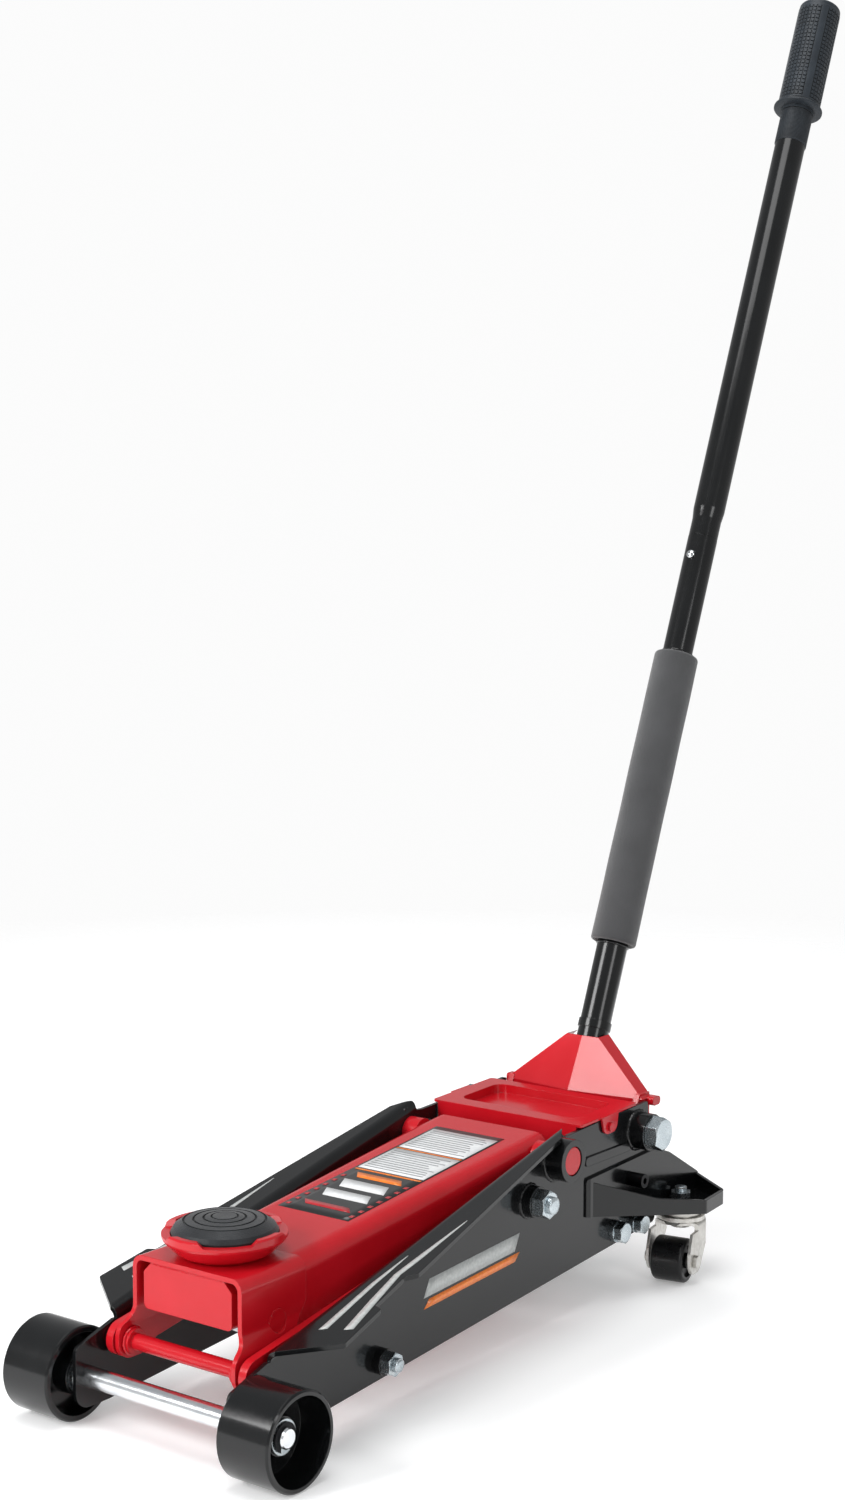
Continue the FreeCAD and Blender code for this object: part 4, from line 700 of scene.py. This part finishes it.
def ribbed_band():
    """Fine ribbed band under the grip."""
    start, finish = along_handle(BAND_LOW), along_handle(BAND_HIGH)
    inner, valley, rib, spacing = 17.35 * MM, 17.75 * MM, 18.3 * MM, 1.6 * MM
    profile = [(inner, start)]
    place = start + 0.4 * MM
    while place < finish:
        profile.append((valley, place))
        profile.append((rib, place + 0.5 * MM))
        profile.append((rib, place + 0.9 * MM))
        profile.append((valley, place + 1.4 * MM))
        place += spacing
    profile.append((inner, finish + 1 * MM))
    return lathe_mesh("ribbed_band", handle_base, handle_axis, profile, 96)


# The grip rubber's painted shade also darkens the band's valleys between the ribs.
piece("ribbed_band", ribbed_band(), grip_rubber, "handle")

RING_BORE = 16.25 * MM
for label, height, radius in (("low", 327.2 * MM, 17.6 * MM), ("high", 631 * MM, 17.4 * MM)):
    middle = along_handle(height)
    bead = [(RING_BORE, middle - 1.4 * MM), (radius, middle - 1 * MM), (radius + 0.4 * MM, middle),
            (radius, middle + 1 * MM), (RING_BORE, middle + 1.4 * MM)]
    ring = lathe_mesh("sleeve_ring", handle_base, handle_axis, bead, 72)
    piece(f"sleeve_ring_{label}", ring, black, "handle")


# ------------------------------------------------------------------ plain decals laid on the CAD surfaces

FILM_GAUGE = 0.1 * MM
MERGE = 0.02 * MM
DROP_HEIGHT = 0.4


def laid_film(name, node, stations, spot, fall, material, body, lift=0.15 * MM, cell=6 * MM):
    """A thin film that follows a CAD surface. stations are pairs of (u, v) corners in millimetres, left and
    right, along the film; spot turns (u, v) into a point in the air, from which it falls on the surface."""
    host = nodes[node]
    fall = Vector(fall).normalized()
    widest = max((Vector(right) - Vector(left)).length for left, right in stations)
    columns = max(1, math.ceil(widest * MM / cell))
    rows = []
    for (left, right), (next_left, next_right) in zip(stations, stations[1:]):
        length = (Vector(next_left) - Vector(left)).length * MM
        steps = max(1, math.ceil(length / cell))
        for step in range(steps + 1):
            if step == 0 and rows:
                continue
            share = step / steps
            start = Vector(left).lerp(Vector(next_left), share)
            finish = Vector(right).lerp(Vector(next_right), share)
            rows.append([start.lerp(finish, column / columns) for column in range(columns + 1)])
    bm = bmesh.new()
    grid = []
    for row in rows:
        line = []
        for corner in row:
            hit, place, normal, _ = host.ray_cast(Vector(spot(corner.x * MM, corner.y * MM)), fall)
            if not hit:
                raise RuntimeError(f"{name} leaves {node} at {corner}")
            if normal.dot(fall) > 0:
                normal = -normal
            line.append(bm.verts.new(place + normal * lift))
        grid.append(line)
    for first, second in zip(grid, grid[1:]):
        for column in range(columns):
            bm.faces.new((first[column], first[column + 1], second[column + 1], second[column]))
    bmesh.ops.remove_doubles(bm, verts=bm.verts, dist=MERGE)
    bmesh.ops.dissolve_degenerate(bm, edges=bm.edges, dist=MERGE)
    bm.normal_update()
    if sum((face.normal for face in bm.faces), Vector()).dot(fall) > 0:
        bmesh.ops.reverse_faces(bm, faces=bm.faces)
    mesh = bpy.data.meshes.new(name)
    bm.to_mesh(mesh)
    bm.free()
    made = piece(name, mesh, material, body)
    film = made.modifiers.new("film", "SOLIDIFY")
    film.thickness = FILM_GAUGE


def over_arm(u, v):
    """A point above the arm, u across from the middle and v back from the front axle."""
    return (u, AXLE_Y + v, DROP_HEIGHT)


def arm_label(name, low, high, front, rear, lift, material, slant=0.0):
    """A bar of the arm's label, in millimetres: from low to high across the arm and from front to rear
    behind the front axle, raised by lift; slant leans its ends."""
    stations = [((low + slant, front), (high + slant, front)), ((low - slant, rear), (high - slant, rear))]
    laid_film(name, "lift_arm", stations, over_arm, -Z, material, "arm", lift * MM, 12 * MM)


def label_sheet():
    """A plain two-part sheet: pale panels of grey rules behind, coloured bars in front."""
    base_half, panel_half, bar_half = 41, 38.5, 26
    base_lift, ink_lift, line_lift = 0.15, 0.3, 0.45
    line_left, line_gauge, line_spacing = -35, 1.6, 5
    tick_width, tick_length, tick_spacing, first_tick = 4.5, 5, 13, 200
    arm_label("label_base", -base_half, base_half, 192, 430, base_lift, print_black)
    for name, front, rear, colour in (
        ("label_panel_rear", 366, 422, print_white),
        ("label_panel_front", 304, 361, print_white),
        ("label_rule_rear", 362.3, 364.6, print_orange),
        ("label_rule_front", 299, 302, print_orange),
    ):
        arm_label(name, -panel_half, panel_half, front, rear, ink_lift, colour)
    for front in (306, 368):
        for row in range(10):
            start = front + 3 + row * line_spacing
            reach = random.uniform(20, 36)
            arm_label(f"label_line_{front}_{row}", line_left, reach, start, start + line_gauge, line_lift,
                      print_grey)
    bars = ((282, 293, print_orange), (256, 274, print_white), (232, 248, print_white),
            (208, 217, print_red))
    for index, (front, rear, colour) in enumerate(bars):
        arm_label(f"label_bar_{index}", -bar_half, bar_half, front, rear, ink_lift, colour, slant=4)
    for index in range(7):
        start = first_tick + index * tick_spacing
        for side, low in (("right", 34.5), ("left", -39)):
            arm_label(f"label_tick_{side}_{index}", low, low + tick_width, start, start + tick_length,
                      ink_lift, print_red)


def flange_stripes(side, sign):
    """Two plain tapering stripes along the flange."""
    def over_flange(u, v):
        return (sign * u, AXLE_Y + v, DROP_HEIGHT)

    outer = [((126, 82), (133, 86)), ((117, 128), (124, 130)), ((110, 170), (115.5, 172)),
             ((110.5, 200), (116, 200)), ((113, 270), (114, 270))]
    inner = [((106, 74), (112, 78)), ((100.5, 150), (105, 150)), ((101, 200), (102, 200))]
    for label, stations in (("outer", outer), ("inner", inner)):
        laid_film(f"stripe_{label}_{side}", f"side_plate_{side}", stations, over_flange, -Z, print_silver,
                  "frame")


def wall_badge(side, sign):
    """Two plain slanted bars on the wall, the lower one orange."""
    def beside_wall(u, v):
        return (sign * DROP_HEIGHT, AXLE_Y + u, v)

    for label, low, high, colour in (("upper", 82, 97, print_silver), ("lower", 72, 79, print_orange)):
        stations = [((238, low - 1), (246, high)), ((378, low + 7), (386, high + 8))]
        laid_film(f"badge_{label}_{side}", f"side_plate_{side}", stations, beside_wall, (-sign, 0, 0), colour,
                  "frame", cell=14 * MM)


label_sheet()
for side_name, side_sign in SIDES:
    flange_stripes(side_name, side_sign)
    wall_badge(side_name, side_sign)

# ------------------------------------------------------------------ studio

def backdrop():
    """Pale floor that fades into the white surroundings."""
    half = 6
    mesh = bpy.data.meshes.new("floor")
    corners = [(-half, -half, 0), (half, -half, 0), (half, half, 0), (-half, half, 0)]
    mesh.from_pydata(corners, [], [(0, 1, 2, 3)])
    floor = bpy.data.objects.new("floor", mesh)
    bpy.context.scene.collection.objects.link(floor)
    floor.location.z = cad_box[0][2] - 0.0002
    s = Shader("pale floor")
    s.set(Base_Color=s.ramp(s.noise(3, 2), [(0.3, 0.87), (0.7, 0.9)]), Roughness=0.7, Specular_IOR_Level=0.1,
          Emission_Color=(1, 1, 1, 1), Emission_Strength=0.25)
    away = s.add("ShaderNodeVectorMath", Vector=s.place)
    away.operation = "LENGTH"
    clear = s.add("ShaderNodeBsdfTransparent")
    fade = s.add("ShaderNodeMixShader")
    reach = s.maths("DIVIDE", away.outputs["Value"], 4.0)
    s.put(fade.inputs[0], s.ramp(reach, [(0.3, 0.0), (0.62, 1.0)]))
    s.put(fade.inputs[1], s.bsdf.outputs[0])
    s.put(fade.inputs[2], clear.outputs[0])
    s.put(s.tree.nodes["Material Output"].inputs["Surface"], fade.outputs[0])
    mesh.materials.append(s.material)


def surroundings():
    """White to the camera; a soft grey gradient to the paint."""
    world = bpy.data.worlds.new("studio")
    bpy.context.scene.world = world
    world.use_nodes = True
    tree = world.node_tree
    rays = tree.nodes.new("ShaderNodeLightPath")
    place = tree.nodes.new("ShaderNodeTexCoord")
    split = tree.nodes.new("ShaderNodeSeparateXYZ")
    shade = tree.nodes.new("ShaderNodeValToRGB")
    stops = shade.color_ramp.elements
    stops[0].position = 0.0
    stops[0].color = (0.5, 0.5, 0.5, 1)
    stops[1].position = 0.9
    stops[1].color = (0.36, 0.37, 0.38, 1)
    mix = tree.nodes.new("ShaderNodeMix")
    mix.data_type = "RGBA"
    mix.inputs["B"].default_value = (0.97, 0.97, 0.97, 1)
    tree.links.new(place.outputs["Generated"], split.inputs[0])
    tree.links.new(split.outputs["Z"], shade.inputs["Fac"])
    tree.links.new(rays.outputs["Is Camera Ray"], mix.inputs["Factor"])
    tree.links.new(shade.outputs["Color"], mix.inputs["A"])
    tree.links.new(mix.outputs["Result"], tree.nodes["Background"].inputs["Color"])


def softbox(name, location, target, size, power, mirrored=True):
    """A soft area light; mirrored says whether glossy paint shows it."""
    light = bpy.data.lights.new(name, "AREA")
    light.shape = "RECTANGLE"
    light.size, light.size_y = size
    light.energy = power
    made = bpy.data.objects.new(name, light)
    bpy.context.scene.collection.objects.link(made)
    made.location = location
    made.rotation_euler = (Vector(target) - Vector(location)).to_track_quat("-Z", "Y").to_euler()
    made.visible_glossy = mirrored


def lights():
    """Name, place, aim, size and power of each softbox; the back one is kept out of the paint."""
    middle = (0, -0.2, 0.3)
    softbox("key", (-1.5, -3.1, 2.2), middle, (1.5, 1.2), 62)
    softbox("fill", (3.2, -1.35, 1.6), middle, (1.0, 1.8), 26)
    softbox("top", (0.1, -0.6, 3.4), middle, (1.8, 2.2), 50)
    softbox("strip", (-0.7, -3.15, 0.9), (0, 0.35, 0.8), (0.35, 2.2), 45)
    softbox("back", (-2.2, 2.25, 2.0), middle, (1.6, 1.6), 24, mirrored=False)


backdrop()
surroundings()
lights()

# ------------------------------------------------------------------ camera

CAMERA_RIGHT, CAMERA_AHEAD, CAMERA_HEIGHT = 1.2542, 1.2901, 0.7264
CAMERA_DIP, CAMERA_TURN = 4.968, 37.564  # degrees

camera_data = bpy.data.cameras.new("camera")
camera = bpy.data.objects.new("camera", camera_data)
bpy.context.scene.collection.objects.link(camera)
camera.location = (CAMERA_RIGHT, AXLE_Y - CAMERA_AHEAD, CAMERA_HEIGHT)
camera.rotation_euler = (math.radians(90 - CAMERA_DIP), 0, math.radians(CAMERA_TURN))
camera_data.sensor_width = 36
camera_data.lens = 53.47
camera_data.shift_x = 0.00547
camera_data.shift_y = 0.00653
bpy.context.scene.camera = camera
bpy.context.scene.view_settings.view_transform = "Standard"
